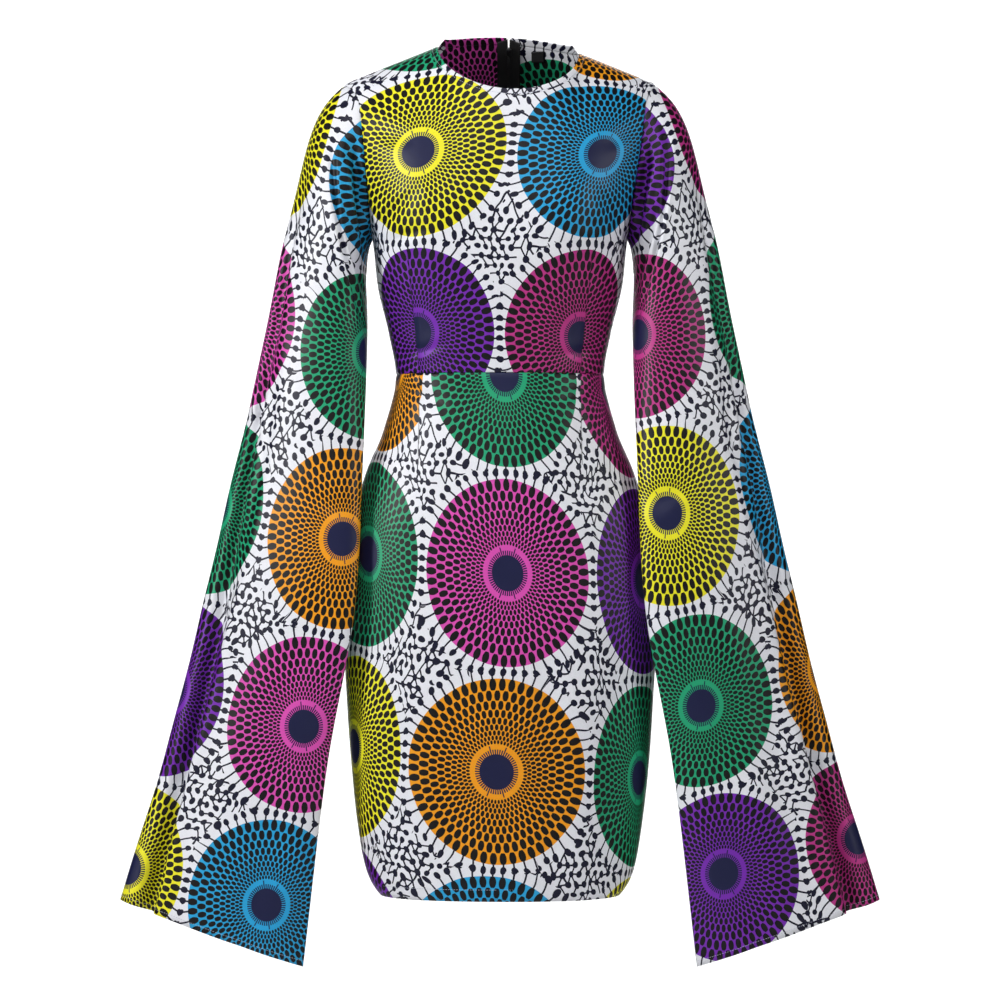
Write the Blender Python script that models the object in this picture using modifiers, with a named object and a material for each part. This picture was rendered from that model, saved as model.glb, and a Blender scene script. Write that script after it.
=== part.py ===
"""Long-sleeved sheath dress in printed cotton, filled out as if worn, with nobody in it.

Frame: metres in Blender, millimetres in the tables below. +Z is up, the front faces -Y and the
wearer's left is +X. The origin is midway between the side neck points, where the shoulders carry it.
"""

import math

import bmesh
import bpy
import numpy as np
from mathutils import Matrix, Vector

MM = 0.001

# Cloth and seams
CLOTH = 1.5  # thickness of every cloth wall
SEAM_GAP = 0.3  # space between two pieces at a seam
ARMHOLE_GAP = 0.9  # the sleeve turns down sharply here, so its inner edge leans towards the bodice

# Body heights
WAIST_Z = -390.0
UNDERARM_Z = -228.0
HEM_Z = -1012.0

# Neck and shoulders
NECK_HALF_WIDTH = 85.0
NECK_Z = {"front": -56.0, "back": 16.0}  # at the centre
NECK_CURVE = {"front": 1.0, "back": 2.0}  # 1 is an ellipse, more makes the neck meet the shoulder flatter
NECK_RISE = 62.0  # how far the ridge would climb from the side neck point to the middle
SHOULDER_X, SHOULDER_Z = 187.0, -41.0
UNDERARM_X = 153.0
ARMHOLE_BOW = {"front": 13.0, "back": 8.0}  # how far the armhole curves in towards the body
BOW_STARTS = 0.15  # share of the armhole, from the shoulder, over which that curve builds up
ARCH = {"front": 130.0, "back": 120.0}  # drop from the shoulder ridge to the full depth

# Bust cups
BUST_X, BUST_Z, BUST_OUT = 98.0, -206.0, 13.0
BUST_SPREAD_X, BUST_SPREAD_Z = 40.0, 44.0

# As it is worn, the neck and the zip's top sit to one side
NECK_SHIFT = 10.5  # towards the wearer's left, fading out at the shoulder points
SHIFT_FROM_Z, SHIFT_FULL_Z = -230.0, -30.0

ROUNDNESS = 2.3  # exponent of the body's cross-section: 2 is an ellipse, more is squarer

# One row for each height of the body
TORSO = [
    {"z": 20, "half_width": 212, "front": 72, "back": 59},
    {"z": -40, "half_width": 204, "front": 88, "back": 82},
    {"z": -90, "half_width": 195, "front": 98, "back": 96},
    {"z": -140, "half_width": 181, "front": 106, "back": 103},
    {"z": -200, "half_width": 162, "front": 110, "back": 102},
    {"z": -228, "half_width": 153, "front": 110, "back": 99},
    {"z": -282, "half_width": 147, "front": 106, "back": 91},
    {"z": -341, "half_width": 133, "front": 97, "back": 84},
    {"z": -390, "half_width": 125, "front": 92, "back": 80},
    {"z": -454, "half_width": 139, "front": 100, "back": 93},
    {"z": -511, "half_width": 162, "front": 107, "back": 109},
    {"z": -580, "half_width": 180, "front": 112, "back": 119},
    {"z": -690, "half_width": 187, "front": 114, "back": 118},
    {"z": -792, "half_width": 183, "front": 111, "back": 110},
    {"z": -871, "half_width": 177, "front": 106, "back": 104},
    {"z": -938, "half_width": 169, "front": 102, "back": 99},
    {"z": -980, "half_width": 161, "front": 99, "back": 96},
    {"z": -1002, "half_width": 152, "front": 97, "back": 94},
    {"z": -1012, "half_width": 144, "front": 96, "back": 93},
]

# One row for each section of the sleeve below the armhole, from the outer fold to the inner fold.
# front and back are how far the two layers stand off the line between the folds, flat is the
# exponent that flattens the folds, and pleat is the depth of the long fold beside the outer edge.
SLEEVE = [
    {"outer": (223, -2, -94), "inner": (160, -8, -268), "front": 62, "back": 56, "flat": 1.0, "pleat": 0},
    {"outer": (255, -2, -216), "inner": (158, -26, -345), "front": 56, "back": 44, "flat": 1.1, "pleat": 6},
    {"outer": (299, -6, -420), "inner": (161, -58, -480), "front": 40, "back": 26, "flat": 1.2, "pleat": 13},
    {"outer": (346, -12, -624), "inner": (170, -82, -668), "front": 32, "back": 20, "flat": 1.3, "pleat": 18},
    {"outer": (393, -14, -816), "inner": (204, -62, -860), "front": 30, "back": 24, "flat": 1.3, "pleat": 20},
    {"outer": (454, -14, -1018), "inner": (233, -40, -1095), "front": 28, "back": 26, "flat": 1.3, "pleat": 22},
]
PLEAT_AT = 0.15  # share of the front layer, from the outer fold, where the long fold lies
PLEAT_HALF_WIDTH = 0.055  # of the front layer
PLEAT_LEAN = 0.5  # share of its depth that the fold leans under the front layer

# Darts, from the waist seam to their points
DART_WAIST_X = 96.0
BODICE_DART = {"x": 110.0, "z": -244.0}
SKIRT_DART = {"x": 97.0, "z": -500.0}
DART_DEPTH = 0.8
DART_SOFTNESS = 3.0  # how far to each side the groove reaches

# Concealed zip at the centre back
TAPE = {"inner_x": 2.6, "outer_x": 12.4, "top_inner": 20.0, "top_outer": 15.5, "bottom": -519.0, "wall": 1.0}
INSIDE_BACK = CLOTH + SEAM_GAP + 1.0  # from the back's outer face to a piece that lies inside it
COIL_RADIUS = 1.8
COIL_GAP = 0.2  # from the tapes' outer face to the coil
COIL_TOP, COIL_BOTTOM = 1.0, -511.0
ZIP_NOTCH = {"half_width": 2.1, "bottom": -6.0, "long": 8.0}  # the neck corners part here, round the slider's lug
LUG = {"z": 6.5, "out": 2.0, "radius": 2.3, "hole": 1.15, "wide": 1.5, "neck_tall": 3.0}
SLIDER = {"wide": 6.4, "tall": 9.0, "deep": 3.4, "rounding": 1.0, "gap": 0.6}  # gap: to the tapes
PULL = {"wide": 5.4, "long": 24.0, "thick": 1.2, "bar": 0.65, "rounding": 0.5}
PULL_WINDOW = {"wide": 2.9, "tall": 3.6}  # below the bar, where the lug goes through

# Plain tab sewn inside the back neck
TAG = {"x": 36.0, "wide": 15.0, "top": 7.0, "tall": 11.0, "wall": 1.0}

CLOTH_COLOUR = (0.86, 0.86, 0.90, 1.0)
SLEEVE_COLOUR = (0.80, 0.81, 0.88, 1.0)
ZIP_COLOUR = (0.02, 0.02, 0.025, 1.0)
TAG_COLOUR = (0.06, 0.06, 0.07, 1.0)


# ---------------------------------------------------------------- curves through short tables


def through(knots, values, at):
    """Smooth curve through the knots, with no overshoot between them."""
    knots, values, at = (np.asarray(a, float) for a in (knots, values, at))
    steps = np.diff(knots)
    slopes = np.diff(values) / steps
    tangents = np.zeros(len(knots))
    turning = slopes[:-1] * slopes[1:] > 0
    both = np.where(turning, slopes[:-1] + slopes[1:], 1.0)
    tangents[1:-1] = np.where(turning, 2 * slopes[:-1] * slopes[1:] / both, 0.0)
    tangents[0], tangents[-1] = slopes[0], slopes[-1]
    i = np.clip(np.searchsorted(knots, at, side="right") - 1, 0, len(steps) - 1)
    t = (at - knots[i]) / steps[i]
    rise = values[i] * (1 + 2 * t) * (1 - t) ** 2 + values[i + 1] * t * t * (3 - 2 * t)
    return rise + steps[i] * (tangents[i] * t * (1 - t) ** 2 - tangents[i + 1] * t * t * (1 - t))


def torso_column(name, z):
    return through([row["z"] for row in TORSO[::-1]], [row[name] for row in TORSO[::-1]], z)


def along(points, shares):
    """Points at these shares of the length of a line given by many points."""
    lengths = np.concatenate([[0], np.cumsum(np.linalg.norm(np.diff(points, axis=0), axis=1))])
    at = np.asarray(shares) * lengths[-1]
    return np.stack([np.interp(at, lengths, points[:, k]) for k in range(3)], axis=1)


# ---------------------------------------------------------------- the body's surface


def ridge(x):
    """Height of the shoulder line, and of the neck it would run into, above each x."""
    slope = SHOULDER_Z / (SHOULDER_X - NECK_HALF_WIDTH)
    inside = np.maximum(0, 1 - (x / NECK_HALF_WIDTH) ** 2)
    return slope * (np.maximum(x, NECK_HALF_WIDTH) - NECK_HALF_WIDTH) + NECK_RISE * inside


def depth(x, z, face):
    """How far the front or the back stands out from the side seams' plane."""
    x = np.abs(x)
    across = 1 - np.minimum(1, x / torso_column("half_width", z)) ** ROUNDNESS
    drop = np.clip((ridge(x) - z) / ARCH[face], 0, 1)
    out = torso_column(face, z) * across ** (1 / ROUNDNESS) * np.sqrt(1 - (1 - drop) ** 2)
    if face == "front":
        spread = ((x - BUST_X) / BUST_SPREAD_X) ** 2 + ((z - BUST_Z) / BUST_SPREAD_Z) ** 2
        out = out + BUST_OUT * np.exp(-spread / 2) * across**0.5
    return out


def on_body(x, z, face):
    sign = -1 if face == "front" else 1
    return np.stack([x, sign * (depth(x, z, face) + SEAM_GAP / 2), z], axis=-1)


def worn(points):
    """The points moved with the neck, as the dress sits on its wearer."""
    points = np.array(points, float)
    x, z = points[..., 0], points[..., 2]
    up = np.clip((z - SHIFT_FROM_Z) / (SHIFT_FULL_Z - SHIFT_FROM_Z), 0, 1)
    inside = 1 - np.minimum(1, np.abs(x) / SHOULDER_X) ** 4
    shift = NECK_SHIFT * up * up * (3 - 2 * up) * inside
    slope = -SHOULDER_Z / (SHOULDER_X - NECK_HALF_WIDTH)
    drop = slope * shift * np.clip(x / NECK_HALF_WIDTH, -1, 1)
    return points + np.stack([shift, 0 * shift, -drop], axis=-1)


def armhole(share, face):
    """The armhole's edge from the shoulder (0) to the underarm (1)."""
    bow = ARMHOLE_BOW[face] * (1 - share) * np.sin(np.minimum(1, share / BOW_STARTS) * math.pi / 2)
    x = SHOULDER_X + (UNDERARM_X - SHOULDER_X) * share - bow
    z = SHOULDER_Z + (UNDERARM_Z - SHOULDER_Z) * share
    return np.minimum(x, torso_column("half_width", z)), z


def dart_press(points, point, z_waist):
    """Presses a soft groove along a dart, from the waist seam to its point."""
    share = np.clip((points[:, 2] - z_waist) / (point["z"] - z_waist), 0, 1)
    line = DART_WAIST_X + (point["x"] - DART_WAIST_X) * share
    near = np.exp(-(((points[:, 0] - line) / DART_SOFTNESS) ** 2)) * (share < 1)
    points[:, 1] += DART_DEPTH * near * (1 - share)
    return points


# ---------------------------------------------------------------- grids of points, then walls

# The bodice's rows. Up to the underarm they end on the side seam, then on the armhole; the inner end
# climbs the centre line to the neck, then goes round the neck by this many degrees.
SIDE_ROWS = [0.0, 0.05, 0.25, 0.45, 0.65, 0.85, 1.0]  # of the way from the waist to the underarm
CHEST_ROWS = [0.25, 0.5, 0.70, 0.85, 0.94, 1.0]  # of the way from the underarm's level to the neck
NECK_ROWS = [16, 31, 45, 58, 69, 78, 84, 88, 90]
UNDERARM_SHARE = 0.42  # of the centre line, from the waist to the neck
CHEST_TOP = 0.50  # share of the armhole reached, from the underarm, by the row that meets the neck's lowest point
ARMHOLE_ROWS = [0.64, 0.76, 0.85, 0.915, 0.956, 0.981, 0.993, 0.9985, 1.0]  # shares for the neck's rows
ACROSS = [0.0, 0.16, 0.32, 0.47, 0.60, 0.72, 0.82, 0.90, 0.96, 1.0]
SKIRT_ROWS = [0.0, 0.015, 0.07, 0.14, 0.21, 0.29, 0.38, 0.48, 0.58, 0.68, 0.78, 0.87, 0.94, 0.98, 1.0]


def row_line(inner, outer):
    """A row's x and z, from its inner end to its outer end."""
    across = np.sin(np.linspace(0, math.pi / 2, 400))
    return inner[0] + (outer[0] - inner[0]) * across, inner[1] + (outer[1] - inner[1]) * across


def bodice_lines(face, centre):
    """Every row of the bodice, as its inner and outer ends."""
    bottom = WAIST_Z + SEAM_GAP / 2
    lines = []
    for share in SIDE_ROWS:
        inner_z = bottom + (NECK_Z[face] - bottom) * UNDERARM_SHARE * share
        outer_z = bottom + (UNDERARM_Z - bottom) * share
        lines.append(((centre(inner_z), inner_z), (float(torso_column("half_width", outer_z)), outer_z)))
    for share in CHEST_ROWS:
        inner_z = bottom + (NECK_Z[face] - bottom) * (UNDERARM_SHARE + (1 - UNDERARM_SHARE) * share)
        lines.append(((centre(inner_z), inner_z), armhole(1 - CHEST_TOP * share, face)))
    for degrees, up in zip(NECK_ROWS, ARMHOLE_ROWS):
        turn = math.radians(degrees)
        inner_z = NECK_Z[face] * math.cos(turn) ** NECK_CURVE[face]
        inner_x = max(NECK_HALF_WIDTH * math.sin(turn), centre(inner_z))
        lines.append(((inner_x, inner_z), armhole(1 - up, face)))
    return lines


def bodice_grid(face, centre):
    return [along(on_body(*row_line(*ends), face), ACROSS) for ends in bodice_lines(face, centre)]


def skirt_row(share, face, centre):
    z = WAIST_Z - SEAM_GAP / 2 + (HEM_Z - WAIST_Z) * share
    inner_x = centre(z)
    line = row_line((inner_x, z), (float(torso_column("half_width", z)), z))
    return along(on_body(*line, face), ACROSS)


def on_fold(z):
    return 0.0


def beside_zip(z):
    """The centre back edge: it parts a little at the neck, where the slider's lug comes through."""
    parted = float(np.clip((z - ZIP_NOTCH["bottom"]) / ZIP_NOTCH["long"], 0, 1))
    return SEAM_GAP / 2 + (ZIP_NOTCH["half_width"] - SEAM_GAP / 2) * parted


def new_object(name, mesh, colour, roughness=0.7):
    """An object in the dress's collection, with its own material."""
    material = bpy.data.materials.new(name)
    material.use_nodes = True
    shader = material.node_tree.nodes["Principled BSDF"]
    shader.inputs["Base Color"].default_value = colour
    shader.inputs["Roughness"].default_value = roughness
    mesh.materials.append(material)
    item = bpy.data.objects.new(name, mesh)
    dress.objects.link(item)
    return item


def add_faces(model, grid, closed, flip):
    """Faces between the rows of a grid of points."""
    rows, columns = len(grid), len(grid[0])
    points = [[model.verts.new(Vector(p) * MM) for p in worn(row)] for row in grid]
    for r in range(rows - 1):
        for c in range(columns if closed else columns - 1):
            n = (c + 1) % columns
            corners = [points[r][c], points[r][n], points[r + 1][n], points[r + 1][c]]
            model.faces.new(corners[::-1] if flip else corners)


def sheet(name, grid, colour, closed=False, wall=CLOTH, flip=False, on_the_fold=False):
    """A cloth wall: the grid is its outer face, and Solidify gives it its thickness inwards."""
    model = bmesh.new()
    add_faces(model, grid, closed, flip)
    if on_the_fold:
        add_faces(model, mirrored(grid), closed, not flip)
        bmesh.ops.remove_doubles(model, verts=model.verts, dist=0.001 * MM)
    mesh = bpy.data.meshes.new(name)
    model.to_mesh(mesh)
    model.free()
    mesh.shade_smooth()
    item = new_object(name, mesh, colour)
    thick = item.modifiers.new("cloth", "SOLIDIFY")
    thick.thickness = wall * MM
    thick.offset = -1
    thick.use_even_offset = True
    return item


def mirrored(grid):
    return [row * np.array([-1, 1, 1]) for row in grid]


def make_bodice():
    front = [dart_press(row, BODICE_DART, WAIST_Z) for row in bodice_grid("front", on_fold)]
    sheet("bodice_front", front, CLOTH_COLOUR, on_the_fold=True)
    back = bodice_grid("back", beside_zip)
    sheet("bodice_back_left", back, CLOTH_COLOUR, flip=True)
    sheet("bodice_back_right", mirrored(back), CLOTH_COLOUR)


def make_skirt():
    front = [skirt_row(s, "front", on_fold) for s in SKIRT_ROWS]
    front = [dart_press(row, SKIRT_DART, WAIST_Z) for row in front]
    sheet("skirt_front", front, CLOTH_COLOUR, flip=True, on_the_fold=True)
    back = [skirt_row(s, "back", beside_zip) for s in SKIRT_ROWS]
    sheet("skirt_back_left", back, CLOTH_COLOUR)
    sheet("skirt_back_right", mirrored(back), CLOTH_COLOUR, flip=True)


# ---------------------------------------------------------------- sleeves

FRONT_SHARES = [0.0, 0.05, 0.09, 0.12, 0.15, 0.18, 0.22, 0.31, 0.43, 0.56, 0.69, 0.81, 0.90, 0.96]
BACK_SHARES = [1.0, 0.95, 0.87, 0.77, 0.66, 0.55, 0.44, 0.33, 0.22, 0.12, 0.05]
RINGS_BETWEEN = 2  # rings for each row of the sleeve's table
SLEEVE_LEAVES = np.array([26.0, 0, 4.0])  # carries the sleeve outwards from the armhole before it hangs


def armhole_ring():
    """The sleeve's first ring: the armhole, front half then back half, just outside the bodice's edge."""
    line = np.linspace(0, 1, 400)
    front = along(on_body(*armhole(line, "front"), "front"), FRONT_SHARES)
    back = along(on_body(*armhole(line, "back"), "back"), BACK_SHARES)
    return np.concatenate([front, back]) + [ARMHOLE_GAP, 0, 0]


def sleeve_ring(row):
    """One section of the sleeve: two layers between the outer and the inner fold, with the long fold."""
    outer, inner = np.array(row["outer"], float), np.array(row["inner"], float)
    turn = np.linspace(0, math.pi, 400)
    line = inner + (outer - inner) * ((np.cos(turn) + 1) / 2)[:, None]
    stand = np.sin(turn) ** row["flat"]
    front = along(line - np.outer(stand, [0, row["front"], 0]), FRONT_SHARES)
    back = along(line + np.outer(stand, [0, row["back"], 0]), BACK_SHARES)
    into = np.exp(-(((np.array(FRONT_SHARES) - PLEAT_AT) / PLEAT_HALF_WIDTH) ** 2) * 2)
    under = (inner - outer) / np.linalg.norm(inner - outer) * PLEAT_LEAN
    front += np.outer(into * row["pleat"], under + [0, 1, 0])
    return np.concatenate([front, back])


def sleeve_rings():
    """Rings from the armhole to the hem, on smooth curves through the table's sections."""
    first = armhole_ring()
    rings = [first] + [sleeve_ring(row) for row in SLEEVE]
    before = first - SLEEVE_LEAVES - 0.5 * (rings[1] - first)
    knots = [before, *rings, 2 * rings[-1] - rings[-2]]
    made = []
    for i in range(1, len(knots) - 2):
        a, b, c, d = knots[i - 1 : i + 3]
        for k in range(RINGS_BETWEEN):
            t = k / RINGS_BETWEEN
            bend = (2 * a - 5 * b + 4 * c - d) * t * t + (3 * b - a - 3 * c + d) * t**3
            made.append(b + 0.5 * ((c - a) * t + bend))
    return [*made, rings[-1]]


def make_sleeves():
    rings = sleeve_rings()
    sheet("sleeve_left", rings, SLEEVE_COLOUR, closed=True)
    sheet("sleeve_right", mirrored(rings), SLEEVE_COLOUR, closed=True, flip=True)


# ---------------------------------------------------------------- concealed zip


def back_normal(x, z):
    """Outward direction of the back at this place."""
    step = 0.5  # mm to each side of the place
    dx = (depth(x + step, z, "back") - depth(x - step, z, "back")) / (2 * step)
    dz = (depth(x, z + step, "back") - depth(x, z - step, "back")) / (2 * step)
    normal = np.array([-float(dx), 1.0, -float(dz)])
    return normal / np.linalg.norm(normal)


def inside_back(x, z, inset):
    """A point this far inside the outer face of the back."""
    x, z = float(x), float(z)
    return on_body(np.array(x), np.array(z), "back") - back_normal(x, z) * inset


def lining_up(x, heights):
    """A grid that lies inside the back, with a point at each x for every row of heights."""
    return [np.array([inside_back(at, z, INSIDE_BACK) for at, z in zip(x, row)]) for row in heights]


def back_levels(top, bottom):
    """Heights from top to bottom, through those of the back's own rows at the zip, so both bend together."""
    bodice = [ends[0][1] for ends in bodice_lines("back", beside_zip)[: len(SIDE_ROWS) + len(CHEST_ROWS)]]
    skirt = [WAIST_Z - SEAM_GAP / 2 + (HEM_Z - WAIST_Z) * share for share in SKIRT_ROWS]
    between = [z for z in bodice[::-1] + skirt if bottom + 4 < z < top - 4 and abs(z - WAIST_Z) > 2]
    return sorted([top, WAIST_Z, bottom, *between], reverse=True)


def make_zip_tapes():
    x = [TAPE["inner_x"], (TAPE["inner_x"] + TAPE["outer_x"]) / 2, TAPE["outer_x"]]
    tops = np.linspace(TAPE["top_inner"], TAPE["top_outer"], 3)
    levels = back_levels(TAPE["top_outer"], TAPE["bottom"])
    heights = [tops] + [np.full(3, z) for z in levels[1:]]
    grid = lining_up(x, heights)
    sheet("zip_tape_left", grid, ZIP_COLOUR, wall=TAPE["wall"])
    sheet("zip_tape_right", mirrored(grid), ZIP_COLOUR, wall=TAPE["wall"], flip=True)


def make_zip_coil():
    """The closed chain, a plain cord between the tapes."""
    curve = bpy.data.curves.new("zip_coil", "CURVE")
    curve.dimensions = "3D"
    curve.bevel_depth = COIL_RADIUS * MM
    curve.bevel_resolution = 1
    curve.use_fill_caps = True
    line = curve.splines.new("POLY")
    heights = back_levels(COIL_TOP, COIL_BOTTOM)
    line.points.add(len(heights) - 1)
    for point, z in zip(line.points, heights):
        place = inside_back(0, z, INSIDE_BACK + COIL_RADIUS + COIL_GAP)
        point.co = (*(worn(place) * MM), 1)
    new_object("zip_coil", curve, ZIP_COLOUR, 0.5)


def lug_frame():
    """Where the slider's lug stands on the outside of the back: its centre, and a turn about X that
    lays local -Z down along the cloth and local +Y out of it."""
    normal = back_normal(0, LUG["z"])
    centre = on_body(np.array(0.0), np.array(LUG["z"]), "back") + normal * LUG["out"]
    return Vector(worn(centre)), Matrix.Rotation(math.atan2(normal[2], normal[1]), 4, "X")


def block(name, size, place):
    """A box of this size, centred at place in the lug's frame."""
    centre, rotation = lug_frame()
    model = bmesh.new()
    bmesh.ops.create_cube(model, size=1)
    bmesh.ops.scale(model, vec=Vector(size) * MM, verts=model.verts)
    bmesh.ops.translate(model, vec=Vector(place) * MM, verts=model.verts)
    return finish_block(name, model, centre, rotation)


def barrel(name, radius, length, place, sides=20):
    """A cylinder along X, centred at place in the lug's frame."""
    centre, rotation = lug_frame()
    model = bmesh.new()
    bmesh.ops.create_cone(
        model, cap_ends=True, segments=sides, radius1=radius * MM, radius2=radius * MM, depth=length * MM
    )
    bmesh.ops.rotate(model, matrix=Matrix.Rotation(math.pi / 2, 3, "Y"), verts=model.verts)
    bmesh.ops.translate(model, vec=Vector(place) * MM, verts=model.verts)
    return finish_block(name, model, centre, rotation)


def finish_block(name, model, centre, rotation):
    mesh = bpy.data.meshes.new(name)
    model.to_mesh(mesh)
    model.free()
    item = new_object(name, mesh, ZIP_COLOUR, 0.35)
    item.location = centre * MM
    item.rotation_euler = rotation.to_euler()
    return item


def rounded(item, width):
    edges = item.modifiers.new("rounded", "BEVEL")
    edges.width = width * MM
    edges.segments = 2


def boolean(item, operation, tool):
    change = item.modifiers.new(operation.lower(), "BOOLEAN")
    change.operation = operation
    change.object = tool
    dress.objects.unlink(tool)
    cutters.objects.link(tool)
    tool.hide_render = True
    tool.display_type = "WIRE"


def make_zip_slider():
    """The slider's body lies inside the back; its lug comes out between the neck corners."""
    body_y = -LUG["out"] - INSIDE_BACK - TAPE["wall"] - SLIDER["gap"] - SLIDER["deep"] / 2
    body = block("zip_slider", (SLIDER["wide"], SLIDER["deep"], SLIDER["tall"]), (0, body_y, 0))
    rounded(body, SLIDER["rounding"])
    neck_deep = -body_y
    neck = block("lug_neck", (LUG["wide"], neck_deep, LUG["neck_tall"]), (0, body_y + neck_deep / 2, 0))
    boolean(body, "UNION", neck)
    boolean(body, "UNION", barrel("lug_round", LUG["radius"], LUG["wide"], (0, 0, 0)))
    boolean(body, "DIFFERENCE", barrel("lug_hole", LUG["hole"], LUG["wide"] * 2, (0, 0, 0)))


def make_pull_tab():
    """A slim plate that hangs from a bar through the lug, with its origin on the bar."""
    plate_size = (PULL["wide"], PULL["thick"], PULL["long"])
    plate = block("zip_pull_tab", plate_size, (0, 0, PULL["bar"] - PULL["long"] / 2))
    rounded(plate, PULL["rounding"])
    window_size = (PULL_WINDOW["wide"], PULL["thick"] * 3, PULL_WINDOW["tall"])
    window = block("pull_window", window_size, (0, 0, -PULL["bar"] - PULL_WINDOW["tall"] / 2))
    boolean(plate, "DIFFERENCE", window)


def make_tag():
    x = np.linspace(TAG["x"] - TAG["wide"] / 2, TAG["x"] + TAG["wide"] / 2, 4)
    heights = [np.full(4, z) for z in np.linspace(TAG["top"], TAG["top"] - TAG["tall"], 3)]
    sheet("size_tag", lining_up(x, heights), TAG_COLOUR, wall=TAG["wall"])


for old in list(bpy.data.objects):
    bpy.data.objects.remove(old, do_unlink=True)
dress = bpy.data.collections.new("ankara dress")
cutters = bpy.data.collections.new("cutters")
bpy.context.scene.collection.children.link(dress)
bpy.context.scene.collection.children.link(cutters)
cutters.hide_render = True

make_bodice()
make_skirt()
make_sleeves()
make_zip_tapes()
make_zip_coil()
make_zip_slider()
make_pull_tab()
make_tag()
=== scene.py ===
import math

import bpy
import numpy as np
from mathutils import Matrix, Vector


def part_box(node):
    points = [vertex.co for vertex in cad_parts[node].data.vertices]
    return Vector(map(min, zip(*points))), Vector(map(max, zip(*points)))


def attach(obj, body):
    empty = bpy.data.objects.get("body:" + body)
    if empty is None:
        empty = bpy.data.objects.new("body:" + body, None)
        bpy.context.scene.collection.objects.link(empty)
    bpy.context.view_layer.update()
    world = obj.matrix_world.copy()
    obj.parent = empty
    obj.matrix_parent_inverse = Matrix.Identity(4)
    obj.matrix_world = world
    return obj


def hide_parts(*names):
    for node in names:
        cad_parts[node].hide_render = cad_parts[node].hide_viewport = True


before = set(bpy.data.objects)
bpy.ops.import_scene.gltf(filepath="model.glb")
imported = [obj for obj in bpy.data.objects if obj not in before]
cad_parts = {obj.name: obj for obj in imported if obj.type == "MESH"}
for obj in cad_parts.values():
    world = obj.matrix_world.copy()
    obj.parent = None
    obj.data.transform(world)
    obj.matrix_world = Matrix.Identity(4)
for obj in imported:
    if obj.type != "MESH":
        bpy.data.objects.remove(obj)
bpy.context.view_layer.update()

# A long-sleeved wax print dress, filled out as if worn. Lengths are millimetres until a point goes
# into a mesh. The front faces -Y and the wearer's left is +X.
mm = 0.001
dressBody = "dress"

# The form: the same curves as the cut pieces stand on
bodyForm = {
    "waist": -390.0,
    "underarm": -228.0,
    "hem": -1012.0,
    "roundness": 2.3,
    "seamGap": 0.3,
    "archFront": 130.0,
    "archBack": 120.0,
    "bustX": 98.0,
    "bustZ": -206.0,
    "bustOut": 13.0,
    "bustSpreadX": 40.0,
    "bustSpreadZ": 44.0,
    "shiftFrom": -230.0,
    "shiftFull": -30.0,
    "shift": 10.5,
}
neckForm = {
    "halfWidth": 85.0,
    "front": -56.0,
    "back": 12.5,
    "curveFront": 1.0,
    "curveBack": 2.0,
    "rise": 62.0,
}
shoulderForm = {
    "x": 187.0,
    "z": -41.0,
    "underarmX": 153.0,
    "bowFront": 13.0,
    "bowBack": 8.0,
    "bowStarts": 0.15,
}

# Half width, front depth and back depth of the body at each height
bodySections = [
    (20, 212, 72, 59),
    (-40, 204, 88, 82),
    (-90, 195, 98, 96),
    (-140, 181, 106, 103),
    (-200, 162, 110, 102),
    (-228, 153, 110, 99),
    (-282, 147, 106, 91),
    (-341, 133, 97, 84),
    (-390, 125, 92, 80),
    (-454, 139, 100, 93),
    (-511, 162, 107, 109),
    (-580, 180, 112, 119),
    (-690, 187, 114, 118),
    (-792, 183, 111, 110),
    (-871, 177, 106, 104),
    (-938, 169, 102, 99),
    (-980, 161, 99, 96),
    (-1002, 152, 97, 94),
    (-1012, 144, 96, 93),
]
sectionColumns = {"halfWidth": 1, "front": 2, "back": 3}

# Outer fold, inner fold, how far the front and back layers stand off, how flat the folds are, and
# the depth of the long fold beside the outer edge
sleeveSections = [
    ((223, -2, -94), (160, -8, -268), 62, 56, 1.0, 0),
    ((255, -2, -216), (158, -26, -345), 56, 44, 1.1, 6),
    ((299, -6, -420), (161, -58, -480), 40, 26, 1.2, 13),
    ((346, -12, -624), (170, -82, -668), 32, 20, 1.3, 18),
    ((393, -14, -816), (204, -62, -860), 30, 24, 1.3, 20),
    ((454, -14, -1018), (233, -40, -1095), 28, 26, 1.3, 22),
]
sleeveForm = {
    "under": 1.0,
    "aside": -0.6,
    "pleatAt": 0.15,
    "pleatHalfWidth": 0.055,
    "pleatLean": 0.5,
    "leaves": (26.0, 0.0, 4.0),
}


def through(knots, values, at):
    # a smooth curve through the knots that never overshoots
    knots, values, at = (np.asarray(a, float) for a in (knots, values, at))
    steps = np.diff(knots)
    slopes = np.diff(values) / steps
    tangents = np.zeros(len(knots))
    turning = slopes[:-1] * slopes[1:] > 0
    both = np.where(turning, slopes[:-1] + slopes[1:], 1.0)
    tangents[1:-1] = np.where(turning, 2 * slopes[:-1] * slopes[1:] / both, 0.0)
    tangents[0], tangents[-1] = slopes[0], slopes[-1]
    i = np.clip(np.searchsorted(knots, at, side="right") - 1, 0, len(steps) - 1)
    t = (at - knots[i]) / steps[i]
    rise = values[i] * (1 + 2 * t) * (1 - t) ** 2 + values[i + 1] * t * t * (3 - 2 * t)
    return rise + steps[i] * (tangents[i] * t * (1 - t) ** 2 - tangents[i + 1] * t * t * (1 - t))


def bodySize(name, z):
    rising = bodySections[::-1]
    return through([row[0] for row in rising], [row[sectionColumns[name]] for row in rising], z)


def along(points, shares):
    # points at these shares of a line's length
    lengths = np.concatenate([[0], np.cumsum(np.linalg.norm(np.diff(points, axis=0), axis=1))])
    at = np.asarray(shares) * lengths[-1]
    return np.stack([np.interp(at, lengths, points[:, k]) for k in range(3)], axis=1)


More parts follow.
